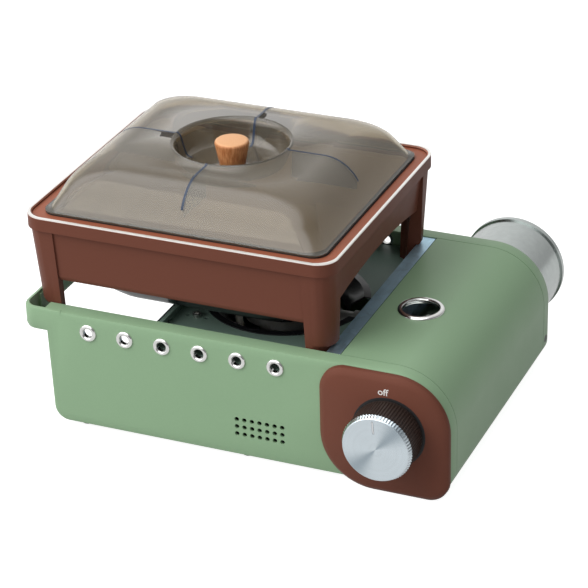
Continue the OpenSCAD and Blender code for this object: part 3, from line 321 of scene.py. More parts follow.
def sprayed(name, screen_colour, roughness=0.4, peel=0.1, coat=0.0, gloss=0.35):
    """A sprayed or powder-coated finish in one colour."""
    material, shader, place = new_material(name)
    tree = material.node_tree
    finish = tree.nodes.new("ShaderNodeGroup")
    finish.node_tree = sprayed_coat
    link(tree, place, finish.inputs["Place"])
    finish.inputs["Colour"].default_value = linear(screen_colour)
    finish.inputs["Roughness"].default_value = roughness
    link(tree, finish.outputs["Colour"], shader.inputs["Base Color"])
    link(tree, finish.outputs["Roughness"], shader.inputs["Roughness"])
    shader.inputs["Specular IOR Level"].default_value = gloss
    shader.inputs["Coat Weight"].default_value = coat
    shader.inputs["Coat Roughness"].default_value = COAT_ROUGHNESS
    bumped(tree, shader, finish.outputs["Height"], peel)
    return material


bodies = record["behaviour"]["bodies"]
body_of_node = {node: body for body, nodes in bodies.items() for node in nodes}


def placed(name, mesh):
    """An object of a mesh in the scene."""
    piece = bpy.data.objects.new(name, mesh)
    bpy.context.collection.objects.link(piece)
    return piece


def stands_for(piece, material, node):
    """Puts a finished piece, in its material, on the body of the solid that it replaces, and hides
    that solid.
    """
    piece.data.materials.clear()
    piece.data.materials.append(material)
    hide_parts(node)
    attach(piece, body_of_node[node])
    return piece


def goes_with(piece, material, body_node):
    """Gives a piece that replaces no solid a material, and puts it on the body of a solid."""
    piece.data.materials.append(material)
    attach(piece, body_of_node[body_node])


def shade_by_angle(work, crisp):
    """Smooth shading, with each edge that turns by more than crisp degrees kept sharp."""
    for face in work.faces:
        face.smooth = True
    for edge in work.edges:
        edge.smooth = edge.is_manifold and edge.calc_face_angle(0.0) < math.radians(crisp)


def dressed(node, name, material, crisp=32, rounding=0.0):
    """A merged copy of a solid that shades smoothly, with its sharp edges broken by rounding."""
    mesh = frame["nodes"][node].data.copy()
    mesh.name = name
    if "custom_normal" in mesh.attributes:
        mesh.attributes.remove(mesh.attributes["custom_normal"])
    work = bmesh.new()
    work.from_mesh(mesh)
    bmesh.ops.remove_doubles(work, verts=work.verts, dist=MERGE_DISTANCE)
    if rounding:
        bmesh.ops.dissolve_limit(work, angle_limit=FLAT_TURN, verts=work.verts, edges=work.edges)
    shade_by_angle(work, crisp)
    work.to_mesh(mesh)
    work.free()
    piece = placed(name, mesh)
    if rounding:
        edge_break = piece.modifiers.new("edge_break", "BEVEL")
        edge_break.width = rounding
        edge_break.segments = 2
        edge_break.limit_method = "ANGLE"
        edge_break.angle_limit = math.radians(crisp)
        edge_break.harden_normals = True
    return stands_for(piece, material, node)


def finished(work, name, crisp=32, up=(0, 0, 1)):
    """Makes an object of a bmesh, faces outwards; up is outwards at its furthest point that way."""
    bmesh.ops.remove_doubles(work, verts=work.verts, dist=MERGE_DISTANCE)
    bmesh.ops.recalc_face_normals(work, faces=work.faces)
    furthest = max(work.faces, key=lambda face: face.calc_center_median().dot(Vector(up)))
    if furthest.normal.dot(Vector(up)) < 0:
        bmesh.ops.reverse_faces(work, faces=work.faces)
    shade_by_angle(work, crisp)
    mesh = bpy.data.meshes.new(name)
    work.to_mesh(mesh)
    work.free()
    return placed(name, mesh)


def bar_work(size, middle):
    """The bmesh of a bar with a size and a middle."""
    work = bmesh.new()
    bmesh.ops.create_cube(work, size=1.0)
    bmesh.ops.scale(work, vec=size, verts=work.verts)
    bmesh.ops.translate(work, vec=middle, verts=work.verts)
    return work


green_paint = sprayed("green_paint", GREEN, roughness=0.38, gloss=0.22)
tray_paint = sprayed("tray_paint", TRAY_GREEN, roughness=0.45)
for part in ("front_panel", "rear_panel", "left_rail"):
    dressed(part, part + "_sheet", green_paint, rounding=SHEET_ROUNDING)

# The cover's left and front edges stand off the flange and the front by a hair; on the left a black
# bar laid in the slit paints the shade of the gap.
cover = dressed("cartridge_cover", "cover_sheet", green_paint, rounding=SHEET_ROUNDING)
cover_low, cover_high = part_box("cartridge_cover")
cover_work = bmesh.new()
cover_work.from_mesh(cover.data)
for axis, slit in ((0, STRIP_SLIT), (1, FRONT_SLIT)):
    at_edge = [v for v in cover_work.verts if v.co[axis] < cover_low[axis] + EDGE_REACH]
    bmesh.ops.translate(cover_work, verts=at_edge, vec=[slit * (i == axis) for i in range(3)])
cover_work.to_mesh(cover.data)
cover_work.free()
edge_top = max(v.co.z for v in cover.data.vertices if v.co.x < cover_low.x + 2 * STRIP_SLIT)
gap_size = (STRIP_SLIT + GAP_OVERLAP, cover_high.y - cover_low.y - GAP_SHORTER, GAP_DEPTH)
gap_middle = (
    cover_low.x + STRIP_SLIT / 2,
    (cover_low.y + cover_high.y) / 2,
    edge_top - GAP_DEPTH / 2 - GAP_SINK,
)
gap_shade_bar = finished(bar_work(gap_size, gap_middle), "cover_edge_shade_bar")
painted_gap_shade = sprayed("painted_gap_shade", GAP_SHADE_BLACK, 0.6, gloss=0.1)
goes_with(gap_shade_bar, painted_gap_shade, "cartridge_cover")
dressed("drip_tray", "tray_sheet", tray_paint, rounding=TRAY_ROUNDING)

# ---------------------------------------------------------------- bare steel inside
# Chassis, partition and small brackets: zinc-coated sheet with a faint spangle and rolling lines.
# The partition's zinc is a paler, bluer copy of the same sheet: painted light on the flange that
# shows beside the cover.
ZINC = (150, 160, 168)
# Paler, bluer copy of the zinc for the partition: painted light.
PAINTED_LIT_ZINC = (174, 204, 220)
ROLL_STRETCH = (40, 4, 40)
SPANGLE_SCALE = 160
FLANGE_ROUNDING = 0.0003
BRACKET_ROUNDING = 0.00015


def zinc_sheet(name, screen_colour, roughness=0.36):
    """Galvanised sheet: spangle in slightly different greys and fine lines along the roll."""
    material, shader, place = new_material(name, roughness, metallic=1.0)
    tree = material.node_tree
    spangle = tree.nodes.new("ShaderNodeTexVoronoi")
    spangle.inputs["Scale"].default_value = SPANGLE_SCALE
    link(tree, place, spangle.inputs["Vector"])
    stretch = tree.nodes.new("ShaderNodeMapping")
    stretch.inputs["Scale"].default_value = ROLL_STRETCH
    link(tree, place, stretch.inputs["Vector"])
    lines = noise(tree, stretch.outputs["Vector"], 18, 4)
    tone = tree.nodes.new("ShaderNodeHueSaturation")
    tone.inputs["Color"].default_value = linear(screen_colour)
    grey = tree.nodes.new("ShaderNodeSeparateColor")
    link(tree, spangle.outputs["Color"], grey.inputs["Color"])
    shade = ranged(tree, grey.outputs["Red"], 0.9, 1.08)
    streak = ranged(tree, lines, 0.88, 1.12)
    link(tree, math_node(tree, "MULTIPLY", shade, streak), tone.inputs["Value"])
    link(tree, tone.outputs["Color"], shader.inputs["Base Color"])
    link(tree, ranged(tree, lines, roughness - 0.08, roughness + 0.12), shader.inputs["Roughness"])
    bumped(tree, shader, lines, 0.12)
    return material


zinc = zinc_sheet("galvanised_steel", ZINC)
painted_lit_zinc = zinc_sheet("painted_lit_zinc", PAINTED_LIT_ZINC, roughness=0.44)
dressed("partition", "partition_sheet", painted_lit_zinc, rounding=FLANGE_ROUNDING)
for part in ("chassis", "valve_plate", "burner_stand", "electrode_clip", "cartridge_cradle"):
    dressed(part, part + "_sheet", zinc, rounding=BRACKET_ROUNDING)

# ---------------------------------------------------------------- plated trim and screws
# Rolled eyelets and the ring of the sight hole are bright nickel plate; the screws, bolts and the
# washer of the lid are duller.
BRIGHT_NICKEL = (226, 226, 224)
DULL_NICKEL = (190, 190, 186)


def shaded(screen_colour, share):
    """Linear colour of a finish at a share of its brightness on a screen."""
    return linear([value * share for value in screen_colour])


def plated(name, screen_colour, roughness=0.16):
    """Bright plating with the faint haze of handling."""
    material, shader, place = new_material(name, roughness, metallic=1.0)
    tree = material.node_tree
    haze = noise(tree, place, 220, 4)
    tone = blended(tree, haze, linear(screen_colour), shaded(screen_colour, 0.93))
    link(tree, tone, shader.inputs["Base Color"])
    link(tree, ranged(tree, haze, roughness - 0.05, roughness + 0.07), shader.inputs["Roughness"])
    return material


nickel = plated("nickel_plate", BRIGHT_NICKEL)
dull_nickel = plated("dull_plate", DULL_NICKEL, 0.28)
for part in ("front_eyelets", "rear_eyelets", "sight_ring"):
    dressed(part, part + "_plated", nickel, crisp=40)
for part in ("tray_bolts", "base_screws", "valve_screws", "lid_screw", "lid_washer"):
    dressed(part, part + "_plated", dull_nickel, crisp=30)

# ---------------------------------------------------------------- gas parts and burner
# Die-cast regulator, burner and mixing tube, iron burner cap, brass jet, pipe and valve parts, and
# an enamelled bowl round the burner.
CAST_ALLOY = (170, 170, 166)
IRON = (72, 72, 74)
BRASS = (204, 170, 104)
MAGNET = (70, 70, 74)
ENAMEL = (30, 30, 33)
CAST_DEPTH = 0.0003


def cast_metal(name, screen_colour, roughness=0.5, grain=700):
    """Sand or die cast metal with a grainy skin."""
    material, shader, place = new_material(name, roughness, metallic=1.0)
    tree = material.node_tree
    skin = noise(tree, place, grain, 5, 0.6)
    patch = noise(tree, place, 45, 3)
    tone = blended(tree, patch, linear(screen_colour), shaded(screen_colour, 0.86))
    link(tree, tone, shader.inputs["Base Color"])
    link(tree, ranged(tree, skin, roughness - 0.1, roughness + 0.15), shader.inputs["Roughness"])
    bumped(tree, shader, skin, 0.35, CAST_DEPTH)
    return material


cast_alloy = cast_metal("cast_alloy", CAST_ALLOY)
dark_iron = cast_metal("dark_iron", IRON, 0.6, 500)
brass = plated("brass", BRASS, 0.25)
dark_magnet = sprayed("magnet", MAGNET, 0.5)
enamel = sprayed("black_enamel", ENAMEL, 0.3, peel=0.15, coat=0.3)
for part, metal in (
    ("regulator", cast_alloy),
    ("burner_head", cast_alloy),
    ("mixing_tube", cast_alloy),
    ("burner_cap", dark_iron),
    ("gas_pipe", brass),
    ("jet_holder", brass),
    ("valve_spindle", brass),
    ("valve_needle", brass),
    ("cartridge_valve", brass),
    ("inlet_magnet", dark_magnet),
    ("burner_bowl", enamel),
):
    dressed(part, part + "_metal", metal)

# ---------------------------------------------------------------- rubber, wire and ceramic
# Feet, seals and grommet are black rubber; the igniter is a black block with a red wire to a white
# electrode. The side screw has a black finish.
RUBBER_BLACK = (24, 24, 25)
PLASTIC_BLACK = (30, 26, 24)
WIRE_RED = (150, 34, 28)
CERAMIC_WHITE = (232, 228, 216)
SCREW_BLACK = (22, 22, 22)


def rubber_skin(name, screen_colour, roughness=0.65):
    """Moulded rubber or plastic with a fine matt skin."""
    material, shader, place = new_material(name, roughness)
    tree = material.node_tree
    skin = noise(tree, place, 1500, 3)
    patch = noise(tree, place, 60, 3)
    pale = linear([min(value * 1.25 + 4, 255) for value in screen_colour])
    link(tree, blended(tree, patch, linear(screen_colour), pale), shader.inputs["Base Color"])
    link(tree, ranged(tree, skin, roughness - 0.08, roughness + 0.1), shader.inputs["Roughness"])
    bumped(tree, shader, skin, 0.2)
    return material


rubber = rubber_skin("black_rubber", RUBBER_BLACK)
for part, skin in (
    ("rubber_feet", rubber),
    ("inlet_seal", rubber),
    ("wire_grommet", rubber),
    ("piezo_igniter", rubber_skin("black_plastic", PLASTIC_BLACK, 0.45)),
    ("ignition_wire", rubber_skin("red_wire_cover", WIRE_RED, 0.5)),
    ("electrode", sprayed("white_ceramic", CERAMIC_WHITE, 0.3)),
    ("side_screw", sprayed("black_steel", SCREW_BLACK, 0.35)),
):
    dressed(part, part + "_piece", skin)

# ---------------------------------------------------------------- knob and its panel
# Brown bevelled panel pressed over the front's corner, with a black ribbed grip in it. The face on
# the grip is a cap of turned aluminium: a flat front, a small bright chamfer and a serrated rim
# that flares to the grip, with a bright index line near its edge. A darker plate under the line
# paints the shade of its engraved groove, and a dark wedge across the face paints the shade of its
# turned highlight.
BROWN = (108, 65, 52)
GRIP_BLACK = (36, 28, 24)
ALUMINIUM = (210, 220, 226)
# Shade, turn and sharpness of the dark wedge painted across the knob's face: painted shade of its
# turned highlight.
PAINTED_WEDGE_SHADE = (158, 170, 178)
PAINTED_WEDGE_TURN = math.radians(48)
PAINTED_WEDGE_SHARPNESS = 14.0
TURNED_STRETCH = 0.75
UPRIGHT = Matrix.Rotation(math.radians(90), 3, "X")
SERRATIONS = 72
CAP_RINGS = ((0.0202, 0.00008, 1.0), (0.0207, 0.00040, 1.0), (0.0221, 0.0031, 0.975))
INDEX_PLATE = (246, 246, 246)
# Grey of the wider plate under the index line: painted shade of its engraved groove.
INDEX_SHADE_PLATE = (120, 132, 140)
INDEX_TILT = math.radians(5.5)
INDEX_MIDDLE = (0, 0.0147, -0.00008)
INDEX_WIDTH = 0.0006
INDEX_LENGTH = 0.0078
PANEL_HOLE = 0.0012
HOLE_PROUD = 0.00004
HOLE_SEGMENTS = 96
INK_WHITE = (240, 240, 236)
OFF_WIDTH = 0.0066
OFF_PLACE = (0.1010, -0.10652, 0.0686)
OFF_BODY = 0.004
OFF_WEIGHT = 0.012

brown_paint = sprayed("brown_paint", BROWN, roughness=0.42, gloss=0.10)
dressed("knob_panel", "knob_panel_plate", brown_paint, crisp=40)
dressed("knob_skirt", "knob_grip", rubber_skin("grip_plastic", GRIP_BLACK, 0.42), crisp=25)


def turned_metal(name, screen_colour, centre, roughness=0.24):
    """Face-turned aluminium: fine rings about an axis along Y through centre, and a dark wedge
    painted across it as the shade of its turned highlight.
    """
    material, shader, place = new_material(name, roughness, metallic=1.0)
    tree = material.node_tree
    shift = tree.nodes.new("ShaderNodeMapping")
    shift.inputs["Location"].default_value = (-centre[0], 0, -centre[2])
    shift.inputs["Scale"].default_value = (1, 0, 1)
    link(tree, place, shift.inputs["Vector"])
    radius = tree.nodes.new("ShaderNodeVectorMath")
    radius.operation = "LENGTH"
    link(tree, shift.outputs["Vector"], radius.inputs[0])
    along_radius = tree.nodes.new("ShaderNodeCombineXYZ")
    link(tree, radius.outputs["Value"], along_radius.inputs["X"])
    groove = noise(tree, along_radius.outputs["Vector"], 4200, 2)
    band = noise(tree, along_radius.outputs["Vector"], 420, 3)
    tone = blended(tree, band, linear(screen_colour), shaded(screen_colour, 0.94))
    sides = tree.nodes.new("ShaderNodeSeparateXYZ")
    link(tree, shift.outputs["Vector"], sides.inputs["Vector"])
    # The colour darkens in a narrow wedge along one diagonal and its opposite: painted shade
    # standing in for the turned face's reflection.
    turn = math_node(tree, "ARCTAN2", sides.outputs["Z"], sides.outputs["X"])
    painted_wedge = math_node(tree, "COSINE", math_node(tree, "SUBTRACT", turn, PAINTED_WEDGE_TURN))
    painted_wedge = math_node(tree, "POWER", math_node(tree, "ABSOLUTE", painted_wedge), PAINTED_WEDGE_SHARPNESS)
    link(tree, blended(tree, painted_wedge, tone, linear(PAINTED_WEDGE_SHADE)), shader.inputs["Base Color"])
    link(tree, ranged(tree, band, roughness - 0.04, roughness + 0.06), shader.inputs["Roughness"])
    shader.inputs["Anisotropic"].default_value = TURNED_STRETCH
    around = tree.nodes.new("ShaderNodeTangent")
    around.direction_type = "RADIAL"
    around.axis = "Y"
    link(tree, around.outputs["Tangent"], shader.inputs["Tangent"])
    bumped(tree, shader, groove, 0.06)
    return material


face_low, face_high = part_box("knob_face")
face_centre = (face_low + face_high) / 2
face_place = Vector((face_centre.x, face_low.y, face_centre.z))


def ring_edges(ring):
    """The edges of a new ring."""
    return list({edge for vert in ring["verts"] for edge in vert.link_edges})


def on_face(work):
    """Turns level work upright and puts it on the knob's face."""
    bmesh.ops.rotate(work, verts=work.verts, cent=(0, 0, 0), matrix=UPRIGHT)
    bmesh.ops.translate(work, verts=work.verts, vec=face_place)
    return work


cap_work = bmesh.new()
cap_rings = []
for radius, depth, notch in CAP_RINGS:
    ring = bmesh.ops.create_circle(
        cap_work,
        cap_ends=not cap_rings,
        segments=2 * SERRATIONS,
        radius=radius,
        matrix=Matrix.Translation((0, 0, -depth)),
    )
    cap_rings.append(ring_edges(ring))
    bmesh.ops.scale(cap_work, vec=(notch, notch, 1), verts=ring["verts"][::2])
for ring, following in zip(cap_rings, cap_rings[1:]):
    bmesh.ops.bridge_loops(cap_work, edges=ring + following)
bmesh.ops.edgeloop_fill(cap_work, edges=cap_rings[-1])
knob_cap = finished(on_face(cap_work), "knob_cap", crisp=22, up=(0, -1, 0))
stands_for(knob_cap, turned_metal("turned_aluminium", ALUMINIUM, face_centre), "knob_face")

# A wider, darker plate under the bright line paints the shade of its engraved groove.
for name, material, grow, height in (
    ("knob_index", plated("index_plate", INDEX_PLATE, 0.4), 0.0, 0.00016),
    ("knob_index_shade_plate", plated("index_shade_plate", INDEX_SHADE_PLATE, 0.4), 0.0005, 0.00008),
):
    index_work = bar_work((INDEX_WIDTH + grow, INDEX_LENGTH + grow, height), INDEX_MIDDLE)
    tilt = Matrix.Rotation(INDEX_TILT, 3, "Z")
    bmesh.ops.rotate(index_work, verts=index_work.verts, cent=(0, 0, 0), matrix=tilt)
    index_bar = finished(on_face(index_work), name, up=(0, -1, 0))
    goes_with(index_bar, material, "knob_face")

# The grip runs in a hole of the panel that is a little wider than the grip; a black disc just in
# front of the panel paints the shade in the hole.
grip_low, grip_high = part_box("knob_skirt")
hole_place = (face_centre.x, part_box("knob_panel")[0].y - HOLE_PROUD, face_centre.z)
hole_work = bmesh.new()
bmesh.ops.create_circle(
    hole_work,
    cap_ends=True,
    segments=HOLE_SEGMENTS,
    radius=(grip_high.x - grip_low.x) / 2 + PANEL_HOLE,
    matrix=Matrix.Translation(hole_place) @ UPRIGHT.to_4x4(),
)
hole_shadow = finished(hole_work, "knob_hole_shadow", up=(0, -1, 0))
goes_with(hole_shadow, rubber, "knob_panel")

# The word on the panel over the knob is printed in white ink.
off_curve = bpy.data.curves.new("off_word", "FONT")
off_curve.body = "off"
off_curve.align_x = "CENTER"
off_curve.extrude = OFF_BODY
off_curve.offset = OFF_WEIGHT
off_source = placed("off_source", off_curve)
bpy.context.view_layer.update()
off_mesh = bpy.data.meshes.new_from_object(off_source)
bpy.data.objects.remove(off_source)
off_mesh.materials.clear()
off_across = [vert.co.x for vert in off_mesh.vertices]
off_scale = Matrix.Scale(OFF_WIDTH / (max(off_across) - min(off_across)), 4)
off_mesh.transform(Matrix.Translation(OFF_PLACE) @ UPRIGHT.to_4x4() @ off_scale)
white_ink = sprayed("white_ink", INK_WHITE, 0.5)
goes_with(placed("off_mark", off_mesh), white_ink, "knob_panel")

# ---------------------------------------------------------------- gas cartridge
# Seamed tinplate can with a bare silver wall, without any print: shell, base, dome and the collar
# round its valve.
TINPLATE = (186, 192, 190)

tinplate = plated("tinplate", TINPLATE, 0.22)
for part in ("cartridge_shell", "cartridge_base", "cartridge_dome", "cartridge_collar"):
    dressed(part, part + "_tin", tinplate, crisp=35)

# ---------------------------------------------------------------- pan
# Brown pressed frame on four legs with a bare bead round its rim, and a vessel in it that is black
# outside and has a pale coat inside. The frame's upward faces round the lid take a paler, warmer
# copy of its brown: painted light from above.
RIM_METAL = (250, 248, 244)
# Paler copy of the frame's brown for its upward faces: painted light from above.
PAINTED_LIGHT_BROWN = (158, 92, 68)
INSIDE_COAT = (196, 182, 162)
FLANGE_DEPTH = 0.006
VESSEL_FLOOR = 0.001
UPWARD = 0.5

rim_metal = plated("bare_rim", RIM_METAL, 0.38)
painted_light_brown = sprayed("painted_light_brown", PAINTED_LIGHT_BROWN, roughness=0.4, gloss=0.22)
inside_coat = sprayed("inside_coat", INSIDE_COAT, roughness=0.5, gloss=0.3)


def second_finish(piece, material, chosen):
    """Gives the faces that chosen picks out a finish of their own."""
    piece.data.materials.append(material)
    for face in piece.data.polygons:
        if chosen(face):
            face.material_index = 1


flange_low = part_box("pan_frame")[1].z - FLANGE_DEPTH
vessel_low, vessel_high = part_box("vessel")
vessel_centre = (vessel_low + vessel_high) / 2
# Faces of the frame that point up near its rim get the paler brown: painted light from above.
second_finish(
    dressed("pan_frame", "pan_frame_shell", brown_paint, crisp=40),
    painted_light_brown,
    lambda face: face.normal.z > UPWARD and face.center.z > flange_low,
)
dressed("rim_bead", "pan_rim_bead", rim_metal)
second_finish(
    dressed("vessel", "pan_vessel", enamel, crisp=40),
    inside_coat,
    lambda face: face.center.z > vessel_low.z + VESSEL_FLOOR
    and (face.normal.z > UPWARD or face.normal.dot(vessel_centre - face.center) > 0),
)

# ---------------------------------------------------------------- lid
# Smoked acrylic dome on a black seal, with a sunk round recess; four clear ribs under the dome
# carry the recess, and their glued edges look dark blue. A section of the dome is a row of pairs,
# inset or radius and height, measured from the lid's edge or axis and from its flat top.
SMOKE = (190, 180, 160)
WELL_TINT = (150, 156, 172)
RIB_TINT = (112, 120, 142)
GLUE_BLUE = (40, 54, 76)
SMOKE_CLEARNESS = 0.88
WELL_CLEARNESS = 0.70
RIB_CLEARNESS = 0.94
ACRYLIC_IOR = 1.55
LID_WALL = 0.0020
CORNER_STEPS = 24
FOOT_CORNER = 0.009
CORNER_GROWTH = 0.6
FOOT_LIP = 0.0008
FOOT_UPRIGHT = 0.9
FOOT_INSET = 0.0010
SHOULDER_RADIUS = 0.024
SHOULDER_STEPS = 12
WALL_LEAN = math.radians(65)
SIDE_EXTRA = (0.0016, 0.0011)
RING_RISE = 0.0009
TOP_CLEARANCE = 0.0002
SEAL_SIDE = -0.0004
SEAL_FRONT = 0.0006
SEAL_WIDTH = 0.0032
RECESS_MOUTH = 0.0384
RECESS_SECTION = (
    (0.0379, 0.0009),
    (0.0371, 0.0007),
    (0.0363, 0.0001),
    (0.0355, -0.0009),
    (0.0349, -0.0022),
    (0.0345, -0.0036),
    (0.0334, -0.0080),
    (0.0322, -0.0118),
    (0.0312, -0.0136),
    (0.0297, -0.0148),
    (0.0275, -0.0153),
    (0.0023, -0.0154),
)
WELL_DEPTH = 0.0030
RIB_PLATE = 0.0008
RIB_HEIGHT = 0.020
RIB_GAP = 0.00015
RIB_END = 0.0015
GLUE_WIDTH = 0.0015
GLUE_DEPTH = 0.00025
GLUE_PROUD = 0.00010

lid_low, lid_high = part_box("lid_shell")
lid_centre = (lid_low + lid_high) / 2
lid_half = (lid_high - lid_low) / 2
dome_top = lid_high.z - RING_RISE - TOP_CLEARANCE
dome_rise = dome_top - lid_low.z


def lid_ring(work, radius, height, shift_x=0.0, shift_y=0.0):
    """A level ring round the lid's axis, with its quarters moved apart for rounded corners."""
    half_step = Matrix.Rotation(math.pi / (4 * CORNER_STEPS), 4, "Z")
    place = Matrix.Translation((0, 0, height)) @ half_step
    ring = bmesh.ops.create_circle(work, segments=4 * CORNER_STEPS, radius=radius, matrix=place)
    for side_x in (-1, 1):
        for side_y in (-1, 1):
            corner = [v for v in ring["verts"] if v.co.x * side_x > 0 and v.co.y * side_y > 0]
            bmesh.ops.translate(work, verts=corner, vec=(side_x * shift_x, side_y * shift_y, 0))
    return ring_edges(ring)


def plan_ring(work, inset_x, inset_y, height):
    """A ring that follows the lid's plan inside its edge."""
    radius = FOOT_CORNER + CORNER_GROWTH * inset_y
    shift_x, shift_y = lid_half.x - inset_x - radius, lid_half.y - inset_y - radius
    return lid_ring(work, radius, height, shift_x, shift_y)


def bridged(work, *rings):
    """Joins each ring to the next one."""
    for ring, following in zip(rings, rings[1:]):
        bmesh.ops.bridge_loops(work, edges=ring + following)


def between(work, outer, inner):
    """Fills the level face between two rings."""
    bmesh.ops.triangle_fill(work, use_beauty=True, use_dissolve=False, edges=outer + inner)


def dome_section(wall=0.0):
    """Inset and depth of the dome's skin from its foot to its flat top; wall moves it inwards."""
    drop = dome_rise - FOOT_LIP
    upright = drop - SHOULDER_RADIUS * (1 - math.cos(WALL_LEAN))
    centre = FOOT_INSET + upright / math.tan(WALL_LEAN) + SHOULDER_RADIUS * math.sin(WALL_LEAN)
    section = [(FOOT_INSET + wall / math.sin(WALL_LEAN), drop)]
    arc = SHOULDER_RADIUS - wall
    for step in range(SHOULDER_STEPS + 1):
        turn = WALL_LEAN * (1 - step / SHOULDER_STEPS)
        section.append((centre - arc * math.sin(turn), SHOULDER_RADIUS - arc * math.cos(turn)))
    return section


def side_extra(depth):
    """How much further in the left and right walls stand than the front and rear ones."""
    return SIDE_EXTRA[0] + SIDE_EXTRA[1] * (1 - depth / dome_rise)


def walled(piece, wall, offset=-1.0, inner_material=0):
    """Gives an open surface its wall; its inner side takes a later material of the piece."""
    maker = piece.modifiers.new("wall", "SOLIDIFY")
    maker.thickness = wall
    maker.offset = offset
    maker.use_even_offset = True
    maker.material_offset = inner_material
    return piece


def clear_plastic(name, screen_colour, clearness):
    """Slightly milky acrylic with a barely cloudy tint, which lets the light through to the pan."""
    material, shader, place = new_material(name, 0.0)
    tree = material.node_tree
    cloudy = noise(tree, place, 30, 2)
    tone = blended(tree, cloudy, linear(screen_colour), shaded(screen_colour, 0.985))
    link(tree, tone, shader.inputs["Base Color"])
    shader.inputs["Transmission Weight"].default_value = clearness
    shader.inputs["IOR"].default_value = ACRYLIC_IOR
    open_way = tree.nodes.new("ShaderNodeBsdfTransparent")
    open_way.inputs["Color"].default_value = linear(screen_colour)
    passing = math_node(tree, "MAXIMUM", ray_is(tree, "Shadow"), ray_is(tree, "Diffuse"))
    lit_through = tree.nodes.new("ShaderNodeMixShader")
    link(tree, passing, lit_through.inputs[0])
    link(tree, shader.outputs["BSDF"], lit_through.inputs[1])
    link(tree, open_way.outputs["BSDF"], lit_through.inputs[2])
    link(tree, lit_through.outputs["Shader"], tree.nodes["Material Output"].inputs["Surface"])
    return material


dome_work = bmesh.new()
foot_heights = (lid_low.z, lid_low.z + FOOT_LIP * FOOT_UPRIGHT)
foot_rings = [plan_ring(dome_work, 0, 0, height) for height in foot_heights]
dome_rings = [
    plan_ring(dome_work, inset + side_extra(depth), inset, dome_top - depth)
    for inset, depth in dome_section()
]
recess_rings = [
    lid_ring(dome_work, radius, dome_top + rise)
    for radius, rise in ((RECESS_MOUTH, 0), *RECESS_SECTION)
]
bridged(dome_work, *foot_rings, *dome_rings)
bridged(dome_work, *recess_rings)
between(dome_work, dome_rings[-1], recess_rings[0])
bmesh.ops.translate(dome_work, verts=dome_work.verts, vec=(lid_centre.x, lid_centre.y, 0))
dome = walled(finished(dome_work, "lid_dome", crisp=70), LID_WALL, inner_material=1)
smoked = clear_plastic("smoked_acrylic", SMOKE, SMOKE_CLEARNESS)
stands_for(dome, smoked, "lid_shell")
second_finish(
    dome,
    smoked,
    lambda face: (face.center.xy - lid_centre.xy).length < RECESS_MOUTH
    and face.center.z < dome_top - WELL_DEPTH,
)
dome.data.materials.append(clear_plastic("well_acrylic", WELL_TINT, WELL_CLEARNESS))

seal_low, seal_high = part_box("lid_seal")
seal_work = bmesh.new()
outer_low, outer_high, inner_high, inner_low = [
    plan_ring(seal_work, SEAL_SIDE + width, SEAL_FRONT + width, height)
    for width, height in (
        (0, seal_low.z),
        (0, seal_high.z),
        (SEAL_WIDTH, seal_high.z),
        (SEAL_WIDTH, seal_low.z),
    )
]
bridged(seal_work, outer_low, outer_high)
bridged(seal_work, inner_high, inner_low)
between(seal_work, outer_high, inner_high)
between(seal_work, outer_low, inner_low)
bmesh.ops.translate(seal_work, verts=seal_work.verts, vec=(lid_centre.x, lid_centre.y, 0))
stands_for(finished(seal_work, "lid_seal_ring"), rubber, "lid_seal")


def chain(work, points):
    """A row of edges through points, grown from one vertex."""
    tip = bmesh.ops.create_vert(work, co=points[0])["vert"][0]
    verts, edges = [tip], []
    for start, end in zip(points, points[1:]):
        grown = bmesh.ops.extrude_vert_indiv(work, verts=[tip])
        tip = grown["verts"][0]
        bmesh.ops.translate(work, verts=[tip], vec=Vector(end) - Vector(start))
        verts.append(tip)
        edges += grown["edges"]
    return verts, edges


def slope_line(half_length, sideways, wall):
    """Points on the dome's skin from a rib's foot to the flat top; wall moves them inwards."""
    line = []
    for inset, depth in dome_section(wall):
        if depth < RIB_HEIGHT:
            inset += side_extra(depth) if sideways else 0
            line.append((half_length - inset, 0, dome_top - depth))
    return line


def rib_plate(half_length, sideways):
    """The upper edge of a rib and how far each point of it stands over the rib's level edge."""
    line = slope_line(half_length, sideways, LID_WALL + RIB_GAP)
    line.append((RECESS_MOUTH + RIB_END, 0, line[-1][2]))
    return line, [point[2] - (dome_top - RIB_HEIGHT) for point in line]


def glued_line(half_length, sideways):
    """The line over a rib's glued edge, on over the ring and down the recess, and its depth."""
    line = slope_line(half_length, sideways, -GLUE_PROUD)
    line.append((RECESS_MOUTH, 0, dome_top + GLUE_PROUD))
    for radius, rise in RECESS_SECTION[:-1]:
        line.append((radius - GLUE_PROUD, 0, dome_top + rise + GLUE_PROUD))
    return line, [GLUE_DEPTH] * len(line)


